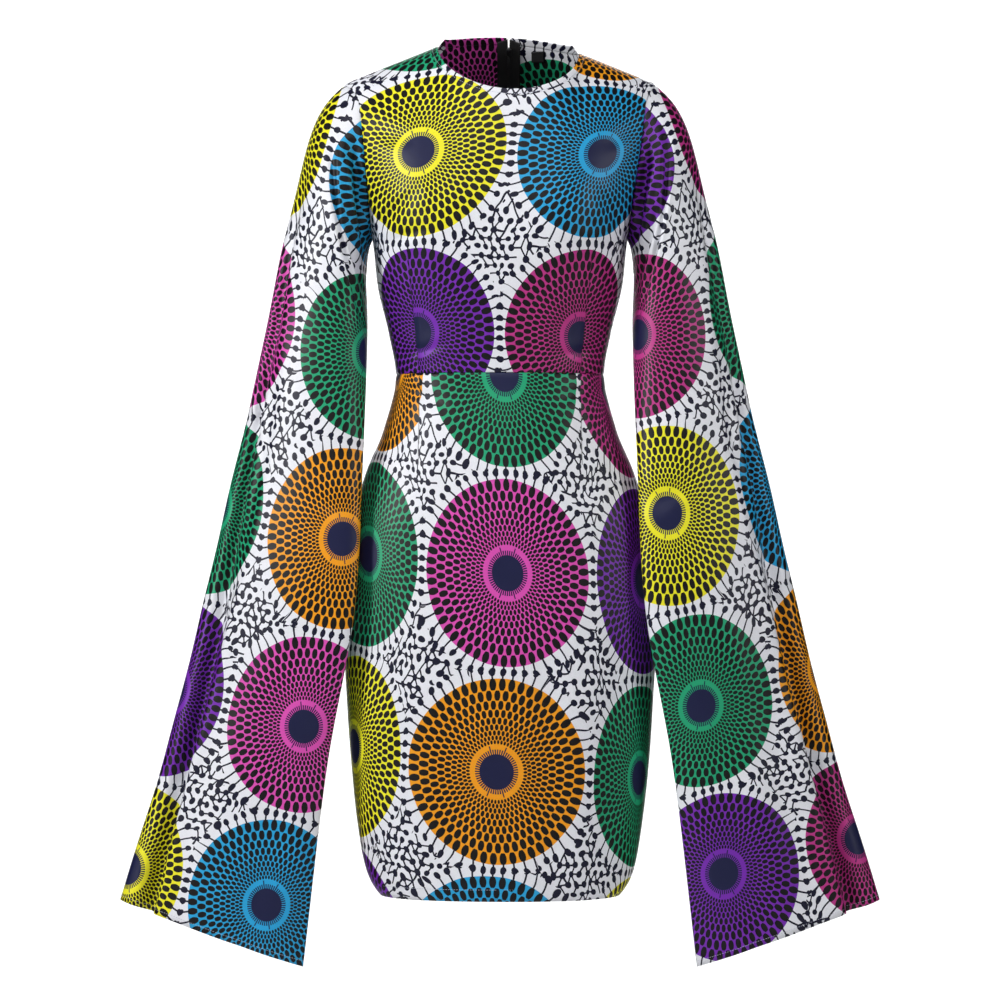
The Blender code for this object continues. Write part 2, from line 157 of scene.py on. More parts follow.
def ridge(x):
    # the shoulder line, and the neck that it would run into
    width = neckForm["halfWidth"]
    slope = shoulderForm["z"] / (shoulderForm["x"] - width)
    rise = neckForm["rise"] * np.maximum(0, 1 - (x / width) ** 2)
    return slope * (np.maximum(x, width) - width) + rise


def depth(x, z, face):
    x = np.abs(x)
    power = bodyForm["roundness"]
    across = 1 - np.minimum(1, x / bodySize("halfWidth", z)) ** power
    arch = bodyForm["archFront"] if face == "front" else bodyForm["archBack"]
    drop = np.clip((ridge(x) - z) / arch, 0, 1)
    out = bodySize(face, z) * across ** (1 / power) * np.sqrt(1 - (1 - drop) ** 2)
    if face == "front":
        aside = (x - bodyForm["bustX"]) / bodyForm["bustSpreadX"]
        above = (z - bodyForm["bustZ"]) / bodyForm["bustSpreadZ"]
        out = out + bodyForm["bustOut"] * np.exp(-(aside**2 + above**2) / 2) * across**0.5
    return out


def onBody(x, z, face, out=0.0):
    # a point of the body's outer face, moved out along the cloth's own normal
    x, z = np.asarray(x, float), np.asarray(z, float)
    side = -1 if face == "front" else 1
    point = np.stack([x, side * (depth(x, z, face) + bodyForm["seamGap"] / 2), z], axis=-1)
    step = 0.5
    slopeX = depth(x + step, z, face) - depth(x - step, z, face)
    slopeZ = depth(x, z + step, face) - depth(x, z - step, face)
    normal = np.stack([-slopeX, side * 2 * step + 0 * x, -slopeZ], axis=-1)
    normal = normal / np.linalg.norm(normal, axis=-1, keepdims=True)
    return point + normal * np.asarray(out)[..., None]


def worn(points):
    # the neck and the zip's top sit a little to one side
    points = np.array(points, float)
    x, z = points[..., 0], points[..., 2]
    up = np.clip((z - bodyForm["shiftFrom"]) / (bodyForm["shiftFull"] - bodyForm["shiftFrom"]), 0, 1)
    inside = 1 - np.minimum(1, np.abs(x) / shoulderForm["x"]) ** 4
    shift = bodyForm["shift"] * up * up * (3 - 2 * up) * inside
    slope = -shoulderForm["z"] / (shoulderForm["x"] - neckForm["halfWidth"])
    drop = slope * shift * np.clip(x / neckForm["halfWidth"], -1, 1)
    return points + np.stack([shift, 0 * shift, -drop], axis=-1)


def armhole(share, face):
    bow = shoulderForm["bowFront"] if face == "front" else shoulderForm["bowBack"]
    bow = bow * (1 - share) * np.sin(np.minimum(1, share / shoulderForm["bowStarts"]) * math.pi / 2)
    x = shoulderForm["x"] + (shoulderForm["underarmX"] - shoulderForm["x"]) * share - bow
    z = shoulderForm["z"] + (bodyForm["underarm"] - shoulderForm["z"]) * share
    return np.minimum(x, bodySize("halfWidth", z)), z


# Creases: each is a soft trough between two low ridges. A row is its two ends as (x, z),
# how deep, how wide and how far it bows; the fine ones near the armholes and the waist are where the cloth
# is pulled
bodyCreases = {
    "front": [
        ((-148, -226), (-92, -176), 2.4, 8, -5),
        ((-146, -246), (-84, -222), 1.8, 7, -4),
        ((149, -230), (98, -168), 2.1, 9, 6),
        ((145, -252), (90, -232), 1.6, 6, 4),
        ((-170, -92), (-100, -118), 1.8, 11, 6),
        ((168, -84), (112, -122), 1.5, 10, -5),
        ((-122, -366), (-58, -352), 1.5, 6, 4),
        ((126, -356), (64, -368), 1.4, 6, -3),
        ((-30, -290), (-22, -384), 1.3, 11, 3),
        ((34, -300), (42, -386), 1.2, 10, -3),
        ((-132, -406), (-60, -432), 1.8, 8, -5),
        ((134, -410), (66, -424), 1.6, 7, 5),
        ((-150, -470), (-84, -512), 1.7, 11, -6),
        ((158, -500), (84, -538), 1.8, 12, 7),
        ((-138, -620), (-112, -1000), 2.8, 20, 6),
        ((-52, -700), (-60, -1008), 2.0, 24, -5),
        ((56, -660), (72, -1006), 2.3, 22, 4),
        ((144, -640), (118, -1004), 2.6, 19, -7),
        ((-158, -930), (-120, -1004), 1.6, 9, 4),
    ],
    "back": [
        ((-146, -232), (-88, -196), 2.2, 9, -5),
        ((148, -236), (82, -204), 2.4, 8, 5),
        ((-160, -110), (-70, -150), 2.0, 13, 7),
        ((162, -118), (76, -144), 1.8, 12, -6),
        ((-112, -350), (-26, -330), 2.4, 9, 6),
        ((110, -340), (22, -352), 2.2, 8, -6),
        ((-116, -372), (-36, -366), 1.6, 6, 3),
        ((116, -370), (40, -376), 1.6, 6, -3),
        ((-126, -408), (-40, -420), 2.2, 8, -6),
        ((128, -404), (36, -424), 2.0, 9, 6),
        ((-150, -690), (-40, -730), 2.2, 12, -14),
        ((152, -702), (44, -726), 2.4, 13, 13),
        ((-128, -740), (-104, -1004), 3.0, 19, 5),
        ((-54, -760), (-44, -1008), 2.2, 18, -4),
        ((50, -770), (60, -1006), 2.4, 20, 5),
        ((132, -730), (112, -1004), 2.8, 18, -6),
    ],
}

# Ends as (distance round from the outer fold, distance down from the armhole); the front layer is
# positive and the back layer negative
sleeveCreases = {
    "left": [
        ((92, 16), (208, 22), 9.5, 12, 6),
        ((60, 40), (196, 116), 5.4, 9, 8),
        ((120, 60), (238, 70), 3.0, 9, 5),
        ((22, 150), (60, 420), 3.2, 14, 5),
        ((66, 330), (52, 880), 4.2, 11, -4),
        ((12, 380), (56, 452), 2.6, 7, 5),
        ((8, 430), (44, 470), 2.2, 6, -4),
        ((210, 300), (120, 372), 2.4, 13, 8),
        ((196, 420), (132, 700), 2.4, 18, -7),
        ((96, 560), (104, 1000), 3.0, 22, 6),
        ((176, 620), (196, 1010), 2.4, 24, -6),
        ((-80, 40), (-200, 60), 4.0, 12, -6),
        ((-40, 120), (-90, 430), 3.2, 15, -6),
        ((-190, 250), (-90, 330), 2.8, 12, -8),
        ((-170, 330), (-80, 380), 2.2, 9, -6),
        ((-30, 420), (-52, 900), 3.0, 14, 5),
        ((-120, 480), (-132, 1000), 3.2, 20, -6),
        ((-190, 560), (-200, 990), 2.4, 18, 5),
    ],
    "right": [
        ((86, 15), (212, 24), 10.0, 13, 7),
        ((66, 42), (206, 128), 5.2, 9, 9),
        ((128, 66), (240, 80), 2.8, 10, 5),
        ((26, 170), (58, 400), 2.8, 13, -5),
        ((60, 300), (48, 860), 4.4, 12, 5),
        ((10, 372), (60, 440), 3.0, 7, -5),
        ((14, 350), (42, 404), 2.2, 6, 4),
        ((204, 320), (126, 380), 2.2, 12, 7),
        ((190, 440), (138, 690), 2.2, 17, 6),
        ((90, 600), (92, 1000), 2.8, 20, -6),
        ((170, 640), (186, 1010), 2.6, 22, 6),
        ((-76, 44), (-196, 66), 3.6, 12, -5),
        ((-44, 140), (-84, 450), 3.0, 14, 6),
        ((-184, 262), (-96, 342), 3.0, 12, -7),
        ((-34, 440), (-58, 900), 2.8, 15, -5),
        ((-116, 500), (-126, 1000), 3.0, 19, 6),
        ((-182, 580), (-204, 990), 2.6, 18, -5),
    ],
}


def creases(across, down, rows):
    # how far the creases move the cloth out, at each place
    out = np.zeros(np.shape(across))
    for start, end, deep, wide, bow in rows:
        start, end = np.array(start, float), np.array(end, float)
        run = end - start
        length = np.hypot(*run)
        share = ((across - start[0]) * run[0] + (down - start[1]) * run[1]) / length**2
        aside = ((across - start[0]) * run[1] - (down - start[1]) * run[0]) / length
        inside = np.clip(share, 0, 1)
        aside = (aside - bow * 4 * inside * (1 - inside)) / wide
        fade = np.sin(math.pi * inside) ** 0.8
        out -= deep * fade * (1 - aside**2) * np.exp(-(aside**2) / 1.6)
    return out


def unevenness(across, down, size):
    # hanging cloth is nowhere quite smooth
    waves = [(0.021, 0.013, 0.4), (-0.017, 0.024, 1.9), (0.034, -0.009, 3.1), (0.011, 0.043, 5.0)]
    return size * sum(np.sin(a * across + b * down + c) for a, b, c in waves) / 2


# Where the print falls on each piece of cloth.
# One repeat is a disc and the net round it. Each row of discs has its height along the cloth from the
# waist seam, then where the eye of its home column is, how wide the repeat is there, and where the
# eyes to each side are, all measured round the cloth from the centre line; tilt is how much higher
# the next disc along is. The chart gives the discs' colours, row by row from the top.
repeat = {"wide": 218.0, "tall": 228.0, "discRadius": 0.47}

bodyPrint = {
    "bodiceFront": {
        "rows": [
            (473, -102, 236, -330, 134, -10),
            (263, -102, 221, -315, 119, 3),
            (48, -101, 201, -300, 100, -6),
            (-162, -101, 201, -300, 100, -6),
        ],
        "home": 1,
        "chart": ["pgoy", "bybu", "bumg", "gogu"],
    },
    "skirtFront": {
        "rows": [
            (232, 5, 191, -170, 176, -17),
            (-2, 5, 191, -170, 176, -17),
            (-237, 9, 205, -164, 184, -16),
            (-470, -4, 224, -200, 182, -18),
            (-703, -12, 224, -208, 186, -18),
        ],
        "home": 2,
        "chart": ["bpubg", "yogmb", "bgpug", "myogo", "oubyy"],
    },
    "bodiceBackLeft": {
        "rows": [
            (520, 52, 212, -160, 264, 6),
            (296, 58, 212, -154, 270, 6),
            (72, 60, 208, -148, 268, 6),
            (-152, 60, 208, -148, 268, 6),
        ],
        "home": 1,
        "chart": ["ouy", "pgo", "boy", "gmu"],
    },
    "bodiceBackRight": {
        "rows": [
            (552, -40, 212, -252, 172, -5),
            (326, -34, 212, -246, 178, -5),
            (100, -36, 208, -244, 172, -5),
            (-124, -36, 208, -244, 172, -5),
        ],
        "home": 1,
        "chart": ["gbo", "ypu", "mgb", "oyg"],
    },
    "skirtBackLeft": {
        "rows": [
            (190, 92, 214, -122, 306, -8),
            (-42, 92, 214, -122, 306, -8),
            (-274, 100, 218, -118, 318, -8),
            (-504, 96, 220, -124, 316, -8),
            (-734, 90, 220, -130, 310, -8),
        ],
        "home": 1,
        "chart": ["yug", "ugb", "gyo", "obu", "bpg"],
    },
    "skirtBackRight": {
        "rows": [
            (150, -118, 214, -332, 96, 7),
            (-82, -118, 214, -332, 96, 7),
            (-314, -112, 218, -330, 106, 7),
            (-544, -106, 220, -326, 114, 7),
            (-774, -100, 220, -320, 120, 7),
        ],
        "home": 1,
        "chart": ["gpo", "yoy", "bug", "gmo", "uyb"],
    },
}

# The sleeves are cut with the grain down the arm, so their print is measured along it and across it.
# Each row of discs has its distance along the grain from the neck's height, then where the front's main
# column is, across the grain from the neck's middle, how wide the repeat is there, and the tilt.
sleevePrint = {
    "left": {
        "rows": [
            (-50, -60, 194, 60),
            (168, -52, 194, 50),
            (367, -57, 194, 14),
            (581, -58, 194, 12),
            (812, -60, 194, 12),
            (1013, -57, 196, 10),
            (1240, -57, 196, 10),
        ],
        "home": 2,
        "chart": ["ygby", "omug", "ugmo", "mbyb", "gogp", "ymuy", "bgob"],
    },
    "right": {
        "rows": [
            (-30, -40, 200, 70),
            (193, -40, 200, 62),
            (387, -43, 198, 14),
            (609, -41, 198, 12),
            (835, -51, 202, 12),
            (1052, -63, 202, 10),
            (1270, -70, 202, 10),
        ],
        "home": 2,
        "chart": ["gumo", "pybg", "bpgo", "ogoy", "gupb", "oybg", "ubyu"],
    },
}
sleeveLean = 10.0  # degrees from straight down

# Each dart takes up this much of the repeat at the waist, and less and less towards its point
darts = {
    "bodiceFront": {"waistX": 96, "x": 110, "z": -244, "takesUp": 0.17},
    "skirtFront": {"waistX": 96, "x": 97, "z": -500, "takesUp": 0.12},
    "skirtBack": {"waistX": 84, "x": 80, "z": -508, "takesUp": 0.10},
}


def arcTables(face):
    # lengths along the cloth: round from the centre line, and up from the waist seam
    angles = np.radians(np.linspace(0, 90, 91))
    heights = np.arange(bodyForm["hem"] - 4, 26, 2.0)
    angle, z = np.meshgrid(angles, heights)
    x = bodySize("halfWidth", z) * np.sin(angle)
    y = depth(x, z, face)
    stepsRound = np.hypot(np.diff(x, axis=1), np.diff(y, axis=1))
    stepsUp = np.sqrt(np.diff(x, axis=0) ** 2 + np.diff(y, axis=0) ** 2 + np.diff(z, axis=0) ** 2)
    lengthRound = np.concatenate([np.zeros((len(heights), 1)), np.cumsum(stepsRound, axis=1)], axis=1)
    lengthUp = np.concatenate([np.zeros((1, len(angles))), np.cumsum(stepsUp, axis=0)], axis=0)
    waistRow = int(np.argmin(np.abs(heights - bodyForm["waist"])))
    return heights, lengthRound, lengthUp - lengthUp[waistRow]


clothArcs = {face: arcTables(face) for face in ("front", "back")}


def readTable(table, row, column):
    row = np.clip(row, 0, table.shape[0] - 1.001)
    column = np.clip(column, 0, table.shape[1] - 1.001)
    r, c = row.astype(int), column.astype(int)
    fr, fc = row - r, column - c
    low = table[r, c] * (1 - fc) + table[r, c + 1] * fc
    high = table[r + 1, c] * (1 - fc) + table[r + 1, c + 1] * fc
    return low * (1 - fr) + high * fr


def arcsAt(x, z, face):
    heights, lengthRound, lengthUp = clothArcs[face]
    x, z = np.asarray(x, float), np.asarray(z, float)
    angle = np.degrees(np.arcsin(np.minimum(1, np.abs(x) / bodySize("halfWidth", z))))
    row = (z - heights[0]) / (heights[1] - heights[0])
    return np.sign(x) * readTable(lengthRound, row, angle), readTable(lengthUp, row, angle)


def printOnBody(x, z, face, layout):
    # where each point falls on the printed cloth, in repeats: across, and down from the chart's top
    around, up = arcsAt(x, z, face)
    columns = list(zip(*layout["rows"][::-1]))
    eye, wide, before, after, tilt = (through(columns[0], column, up) for column in columns[1:])
    down = through(columns[0], range(len(columns[0]))[::-1], up)
    half = wide / 2
    # straight runs between these marks, in repeats from the home column's eye
    far, usualWide = 1000, 204
    marks = [before - far, before, eye - half, eye + half, after, after + far]
    steps = [-1 - far / usualWide, -1, -0.5, 0.5, 1, 1 + far / usualWide]
    across = np.full(np.shape(around), steps[0])
    for k in range(len(marks) - 1):
        share = np.clip((around - marks[k]) / (marks[k + 1] - marks[k]), 0, 1)
        across = across + share * (steps[k + 1] - steps[k])
    down = down + np.clip(across, -1.3, 1.3) * tilt / repeat["tall"]
    return np.stack([across + layout["home"] + 0.5, down + 0.5], axis=-1)


def dartMarks(x, z, dart):
    # how far past the dart's line each point is, and how much of the repeat the dart takes up there
    waist = bodyForm["waist"]
    share = (z - waist) / (dart["z"] - waist)
    line = dart["waistX"] + (dart["x"] - dart["waistX"]) * share
    takesUp = dart["takesUp"] * np.clip(1 - share, 0, 1) * np.sign(x)
    return np.stack([np.abs(x) - line, takesUp], axis=-1)


# A ring of points at any distance down the sleeve, front layer then back layer
sleeveGrid = {"frontPoints": 64, "backPoints": 58, "ringsPerSection": 36}


def sleeveSection(row, frontShares, backShares):
    outer, inner = np.array(row[0], float), np.array(row[1], float)
    frontDepth, backDepth, flat, pleat = row[2:]
    turn = np.linspace(0, math.pi, 400)
    line = inner + (outer - inner) * ((np.cos(turn) + 1) / 2)[:, None]
    stand = np.sin(turn) ** flat
    front = along(line - np.outer(stand, [0, frontDepth, 0]), frontShares)
    back = along(line + np.outer(stand, [0, backDepth, 0]), backShares)
    into = np.exp(-(((frontShares - sleeveForm["pleatAt"]) / sleeveForm["pleatHalfWidth"]) ** 2) * 2)
    under = (inner - outer) / np.linalg.norm(inner - outer) * sleeveForm["pleatLean"]
    front += np.outer(into * pleat, under + [0, 1, 0])
    return np.concatenate([front, back])


def armholeRing(frontShares, backShares):
    line = np.linspace(0, 1, 400)
    under = np.full(line.shape, -sleeveForm["under"])
    front = along(onBody(*armhole(line, "front"), "front", under), frontShares)
    back = along(onBody(*armhole(line, "back"), "back", under), backShares)
    return np.concatenate([front, back]) + [sleeveForm["aside"], 0, 0]


def smoothRings():
    # rings on curves through the form's sections: the front layer from the outer fold to the inner,
    # then the back layer the other way, so the points on the folds are there twice
    frontShares = np.linspace(0, 1, sleeveGrid["frontPoints"])
    backShares = np.linspace(1, 0, sleeveGrid["backPoints"])
    first = armholeRing(frontShares, backShares)
    rings = [first] + [sleeveSection(row, frontShares, backShares) for row in sleeveSections]
    before = first - np.array(sleeveForm["leaves"]) - 0.5 * (rings[1] - first)
    knots = [before, *rings, 2 * rings[-1] - rings[-2]]
    made = []
    for i in range(1, len(knots) - 2):
        a, b, c, d = knots[i - 1 : i + 3]
        for k in range(sleeveGrid["ringsPerSection"]):
            t = k / sleeveGrid["ringsPerSection"]
            bend = (2 * a - 5 * b + 4 * c - d) * t * t + (3 * b - a - 3 * c + d) * t**3
            made.append(b + 0.5 * ((c - a) * t + bend))
    made = np.array([*made, rings[-1]])
    return {"front": made[:, : len(frontShares)], "back": made[:, len(frontShares) :]}


def lengthsAlong(grid, axis):
    steps = np.linalg.norm(np.diff(grid, axis=axis), axis=2)
    start = np.zeros((1, steps.shape[1])) if axis == 0 else np.zeros((steps.shape[0], 1))
    return np.concatenate([start, np.cumsum(steps, axis=axis)], axis=axis)


def printOnSleeve(rings, layout):
    # lengths are added up across the grain, from the outer fold both ways round
    lean = math.radians(sleeveLean)
    grain = np.array([math.sin(lean), 0, -math.cos(lean)])
    cross = np.array([-math.cos(lean), 0, -math.sin(lean)])
    placed = {}
    for layer, way in (("front", 1), ("back", -1)):
        points = rings[layer][:, ::way]
        steps = np.diff(points, axis=1)
        steps = np.sqrt(np.maximum((steps**2).sum(axis=2) - (steps @ grain) ** 2, 0))
        lengths = np.concatenate([np.zeros((len(points), 1)), np.cumsum(steps, axis=1)], axis=1)
        across = points[:, :1] @ cross + way * lengths
        down = points @ grain
        columns = list(zip(*layout["rows"]))
        eye, wide, tilt = (through(columns[0], column, down) for column in columns[1:])
        across = (across - eye) / wide
        down = through(columns[0], range(len(columns[0])), down)
        down = down - np.clip(across, -1.3, 0.3) * tilt / repeat["tall"]
        placed[layer] = np.stack([across + layout["home"] + 0.5, down + 0.5], axis=-1)[:, ::way]
    return placed


print("form ready")


def linear(code):
    # an sRGB hex colour in linear light
    parts = [int(code[i : i + 2], 16) / 255 for i in (1, 3, 5)]
    return (*[c / 12.92 if c <= 0.04045 else ((c + 0.055) / 1.055) ** 2.4 for c in parts], 1.0)


def addNode(tree, kind, inputs=(), operation=None, **settings):
    # a node with its settings, its sockets linked or set in order or by name; kind leaves out the
    # usual prefix
    node = tree.nodes.new(kind if "Node" in kind else "ShaderNode" + kind)
    if operation:
        node.operation = operation
    for name, value in settings.items():
        setattr(node, name, value)
    pairs = inputs.items() if isinstance(inputs, dict) else enumerate(inputs)
    for socket, value in pairs:
        if isinstance(value, bpy.types.Node):
            value = value.outputs[0]
        if isinstance(value, bpy.types.NodeSocket):
            tree.links.new(value, node.inputs[socket])
        elif value is not None:
            node.inputs[socket].default_value = value
    return node


def newMaterial(name):
    material = bpy.data.materials.new(name)
    material.use_nodes = True
    return material, material.node_tree, material.node_tree.nodes["Principled BSDF"]


def newObject(name, mesh, material):
    mesh.materials.append(material)
    piece = bpy.data.objects.new(name, mesh)
    bpy.context.scene.collection.objects.link(piece)
    return piece


def finish(piece, slot, *nodes):
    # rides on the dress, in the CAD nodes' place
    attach(piece, dressBody)
    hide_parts(*nodes)


# Each cut piece is a grid of points, given its thickness inwards
cloth = {
    "plain": 0.75,
    "hem": 1.4,
    "unevenness": 0.45,
    "sleeveUnevenness": 0.45 * 1.6,
    "seamDeep": 1.1,
    "seamWide": 2.2,
    "calmBy": {"seam": 7, "neck": 9, "armhole": 8},  # creases die out this far from each
    "hemStep": {"deep": 0.5, "neckDeep": 0.35, "wide": 1.5},
    "dartFold": {"wide": 2.2, "around": 9, "aroundDeep": 0.35},
    "bodyReach": (-6.5, 4.5),
    "sleeveReach": (-8, 4.5),
}
hems = {"neck": 8.0, "skirt": 14.0, "cuff": 8.0}
topstitch = {
    "long": 2.5,
    "wide": 0.5,
    "step": 3.2,
    "proud": 0.16,
    "in": {"neck": 6.0, "skirt": 14.0, "cuff": 7.0},
}


def near(distance, reach):
    # 1 on a line, falling softly to 0 past this reach
    return np.exp(-((distance / reach) ** 2))


def seamDitch(distance):
    # two pieces pulled together along a seam
    return -cloth["seamDeep"] * near(distance, cloth["seamWide"])


def makeCloth(name, parts, material):
    # each part is a grid of points with its print, dart marks and hem; parts meet where their points do
    points = np.concatenate([part["grid"].reshape(-1, 3) for part in parts])
    _, first, index = np.unique(np.round(points, 3), axis=0, return_index=True, return_inverse=True)
    index = index.reshape(-1)
    faces, start = [], 0
    for part in parts:
        rows, columns = part["grid"].shape[:2]
        numbers = np.arange(start, start + rows * columns).reshape(rows, columns)
        start += rows * columns
        upper, lower = numbers[:-1], numbers[1:]
        corners = np.stack([upper[:, :-1], upper[:, 1:], lower[:, 1:], lower[:, :-1]], axis=-1)
        corners = corners.reshape(-1, 4)
        if part["flip"]:
            corners = corners[:, ::-1]
        faces.append(corners)
    faces = np.concatenate(faces)
    mesh = bpy.data.meshes.new(name)
    mesh.from_pydata((points[first] * mm).tolist(), [], index[faces].tolist())
    for layer in ("print", "dart"):
        values = np.concatenate([part[layer].reshape(-1, 2) for part in parts])
        uv = mesh.uv_layers.new(name=layer)
        uv.data.foreach_set("uv", values[faces].reshape(-1).astype(np.float32))
    mesh.shade_smooth()
    piece = newObject(name, mesh, material)
    group = piece.vertex_groups.new(name="cloth")
    hemmed = np.concatenate([part["hem"].reshape(-1) for part in parts])[first]
    thickness = np.round(cloth["plain"] + (cloth["hem"] - cloth["plain"]) * hemmed, 2)
    for level in np.unique(thickness):
        group.add(np.nonzero(thickness == level)[0].tolist(), float(level / cloth["hem"]), "REPLACE")
    wall = piece.modifiers.new("cloth", "SOLIDIFY")
    wall.thickness = cloth["hem"] * mm
    wall.offset = -1
    wall.vertex_group = "cloth"
    return piece


# The zip lies inside the back, its tapes a little way in from the outer face
zipForm = {
    "inside": 2.8,
    "tapeInner": 0.9,
    "tapeOuter": 14.2,
    "topInner": 20.0,
    "topOuter": 15.5,
    "bottom": -519.0,
    "long": 530,
    "topLong": 24,  # where the rows are close together
    "topParts": (0.1, 12),  # how far the tops part, and over what length
    "topFold": (0.1, -0.7, 14),  # how far each end leans aside and in, and over what length
    "wall": 0.7,
    "coilTop": 1.0,
    "coilBottom": -511.0,
    "turnStep": 1.25,
    "turnSize": (0.95, 3.1, 2.3),
    "turnLean": 9,
}

bodyGrid = {
    "sideRows": 42,
    "chestRows": 46,
    "neckSteps": 3,
    "skirtRows": 142,
    "columns": 62,
    "crowded": 1.3,
    "crowdedDown": 1.15,
}

# The neck's edge in degrees round from the centre, each with its share of the armhole, from the underarm
neckRows = [
    (16, 0.64),
    (31, 0.76),
    (45, 0.85),
    (58, 0.915),
    (69, 0.956),
    (78, 0.981),
    (84, 0.993),
    (88, 0.9985),
    (90, 1.0),
]
bodiceRows = {"underarm": 0.42, "chestTop": 0.50}
centreBack = {"apart": 0.15, "notch": 0.8, "notchBottom": -6.0, "notchLong": 8.0}


def onFold(z):
    return 0.0


def besideZip(z):
    # the centre back edges part at the neck, where the slider's lug comes through
    parted = float(np.clip((z - centreBack["notchBottom"]) / centreBack["notchLong"], 0, 1))
    return centreBack["apart"] + (centreBack["notch"] - centreBack["apart"]) * parted


def neckEdge(turn, face):
    # the neck's edge in x and z, turn being the angle round from the centre
    curve = neckForm["curveFront" if face == "front" else "curveBack"]
    return neckForm["halfWidth"] * np.sin(turn), neckForm[face] * np.cos(turn) ** curve


def offEdge(x, z, middle):
    # the way out from the neck's edge, at each of its points
    aside = np.stack([np.gradient(z), -np.gradient(x)], axis=1)
    aside /= np.linalg.norm(aside, axis=1, keepdims=True)
    return aside * np.sign(aside[middle, 0])


def bodiceEnds(face, centre):
    # each row's inner and outer end, from the waist up
    bottom = bodyForm["waist"] + bodyForm["seamGap"] / 2
    neckZ = neckForm[face]
    ends = []
    for share in np.linspace(0, 1, bodyGrid["sideRows"])[:-1] ** bodyGrid["crowded"]:
        innerZ = bottom + (neckZ - bottom) * bodiceRows["underarm"] * share
        outerZ = bottom + (bodyForm["underarm"] - bottom) * share
        ends.append(((centre(innerZ), innerZ), (float(bodySize("halfWidth", outerZ)), outerZ)))
    underarm = bodiceRows["underarm"]
    for share in np.linspace(0, 1, bodyGrid["chestRows"]):
        innerZ = bottom + (neckZ - bottom) * (underarm + (1 - underarm) * share)
        ends.append(((centre(innerZ), innerZ), armhole(1 - bodiceRows["chestTop"] * share, face)))
    knots = [(0, bodiceRows["chestTop"]), *neckRows]
    curve = neckForm["curveFront" if face == "front" else "curveBack"]
    for (fromTurn, fromUp), (toTurn, toUp) in zip(knots, knots[1:]):
        for share in np.linspace(0, 1, bodyGrid["neckSteps"] + 1)[1:]:
            turn = math.radians(fromTurn + (toTurn - fromTurn) * share)
            innerZ = neckZ * max(math.cos(turn), 0.0) ** curve
            innerX = max(neckForm["halfWidth"] * math.sin(turn), centre(innerZ))
            ends.append(((innerX, innerZ), armhole(1 - (fromUp + (toUp - fromUp) * share), face)))
    return ends


def skirtEnds(face, centre):
    ends = []
    for share in np.linspace(0, 1, bodyGrid["skirtRows"]) ** bodyGrid["crowdedDown"]:
        z = bodyForm["waist"] - bodyForm["seamGap"] / 2 + (bodyForm["hem"] - bodyForm["waist"]) * share
        ends.append(((centre(z), z), (float(bodySize("halfWidth", z)), z)))
    return ends


def onRows(ends, face):
    # points of the body's outer face, row by row, close together towards the outer ends
    across = np.sin(np.linspace(0, math.pi / 2, 400))
    shares = 1 - (1 - np.linspace(0, 1, bodyGrid["columns"])) ** bodyGrid["crowded"]
    made = []
    for inner, outer in ends:
        x = inner[0] + (outer[0] - inner[0]) * across
        z = inner[1] + (outer[1] - inner[1]) * across
        made.append(along(onBody(x, z, face), shares))
    return np.array(made)


def fromNeckEdge(points, face):
    # how far each point is from the neck's edge
    edge = onBody(*neckEdge(np.radians(np.linspace(0, 90, 91)), face), face)
    points = points * [np.sign(points[..., :1]).mean() or 1, 1, 1]
    return np.linalg.norm(points[..., None, :] - edge, axis=-1).min(axis=-1)


def bodyPart(face, ends, way, layout, dart, flip):
    # one half of the front or back; way is 1 on the wearer's left and -1 on the right
    grid = onRows(ends, face)
    toOuterEdge = lengthsAlong(grid[:, ::-1], 1)[:, ::-1]
    down = lengthsAlong(grid, 0)
    toLastRow = down[-1:] - down
    x, z = grid[..., 0] * way, grid[..., 2]
    out = creases(x, z, bodyCreases[face]) + unevenness(x, z, cloth["unevenness"])
    calmBy, step, fold = cloth["calmBy"], cloth["hemStep"], cloth["dartFold"]
    calm = 1 - near(toOuterEdge, calmBy["seam"]) - near(down, calmBy["seam"])
    if ends[-1][1][1] > bodyForm["waist"]:
        fromNeck = fromNeckEdge(grid, face)
        calm = calm - near(toLastRow, calmBy["seam"]) - near(fromNeck, calmBy["neck"])
        out = out * np.clip(calm, 0, 1) + seamDitch(toLastRow)
        hemmed = np.zeros(x.shape)
        out = out - step["neckDeep"] * near(fromNeck - hems["neck"] + step["wide"], step["wide"])
    else:
        hemmed = np.clip((hems["skirt"] - toLastRow) / step["wide"], 0, 1)
        out = out * np.clip(calm, 0, 1) - step["deep"] * near(toLastRow - hems["skirt"], step["wide"])
    out = out + seamDitch(toOuterEdge) + seamDitch(down)
    darted = np.stack([np.full(x.shape, -1.0), 0 * x], axis=-1)
    if dart:
        darted = dartMarks(x, z, dart)
        past = darted[..., 0]
        pressed = near(past, fold["wide"]) + fold["aroundDeep"] * near(past, fold["around"])
        out = out - pressed * (np.abs(darted[..., 1]) > 0)
    grid = worn(onBody(x, z, face, np.clip(out, *cloth["bodyReach"])))
    printed = printOnBody(x, z, face, layout)
    return {"grid": grid, "print": printed, "dart": darted, "hem": hemmed, "flip": flip}


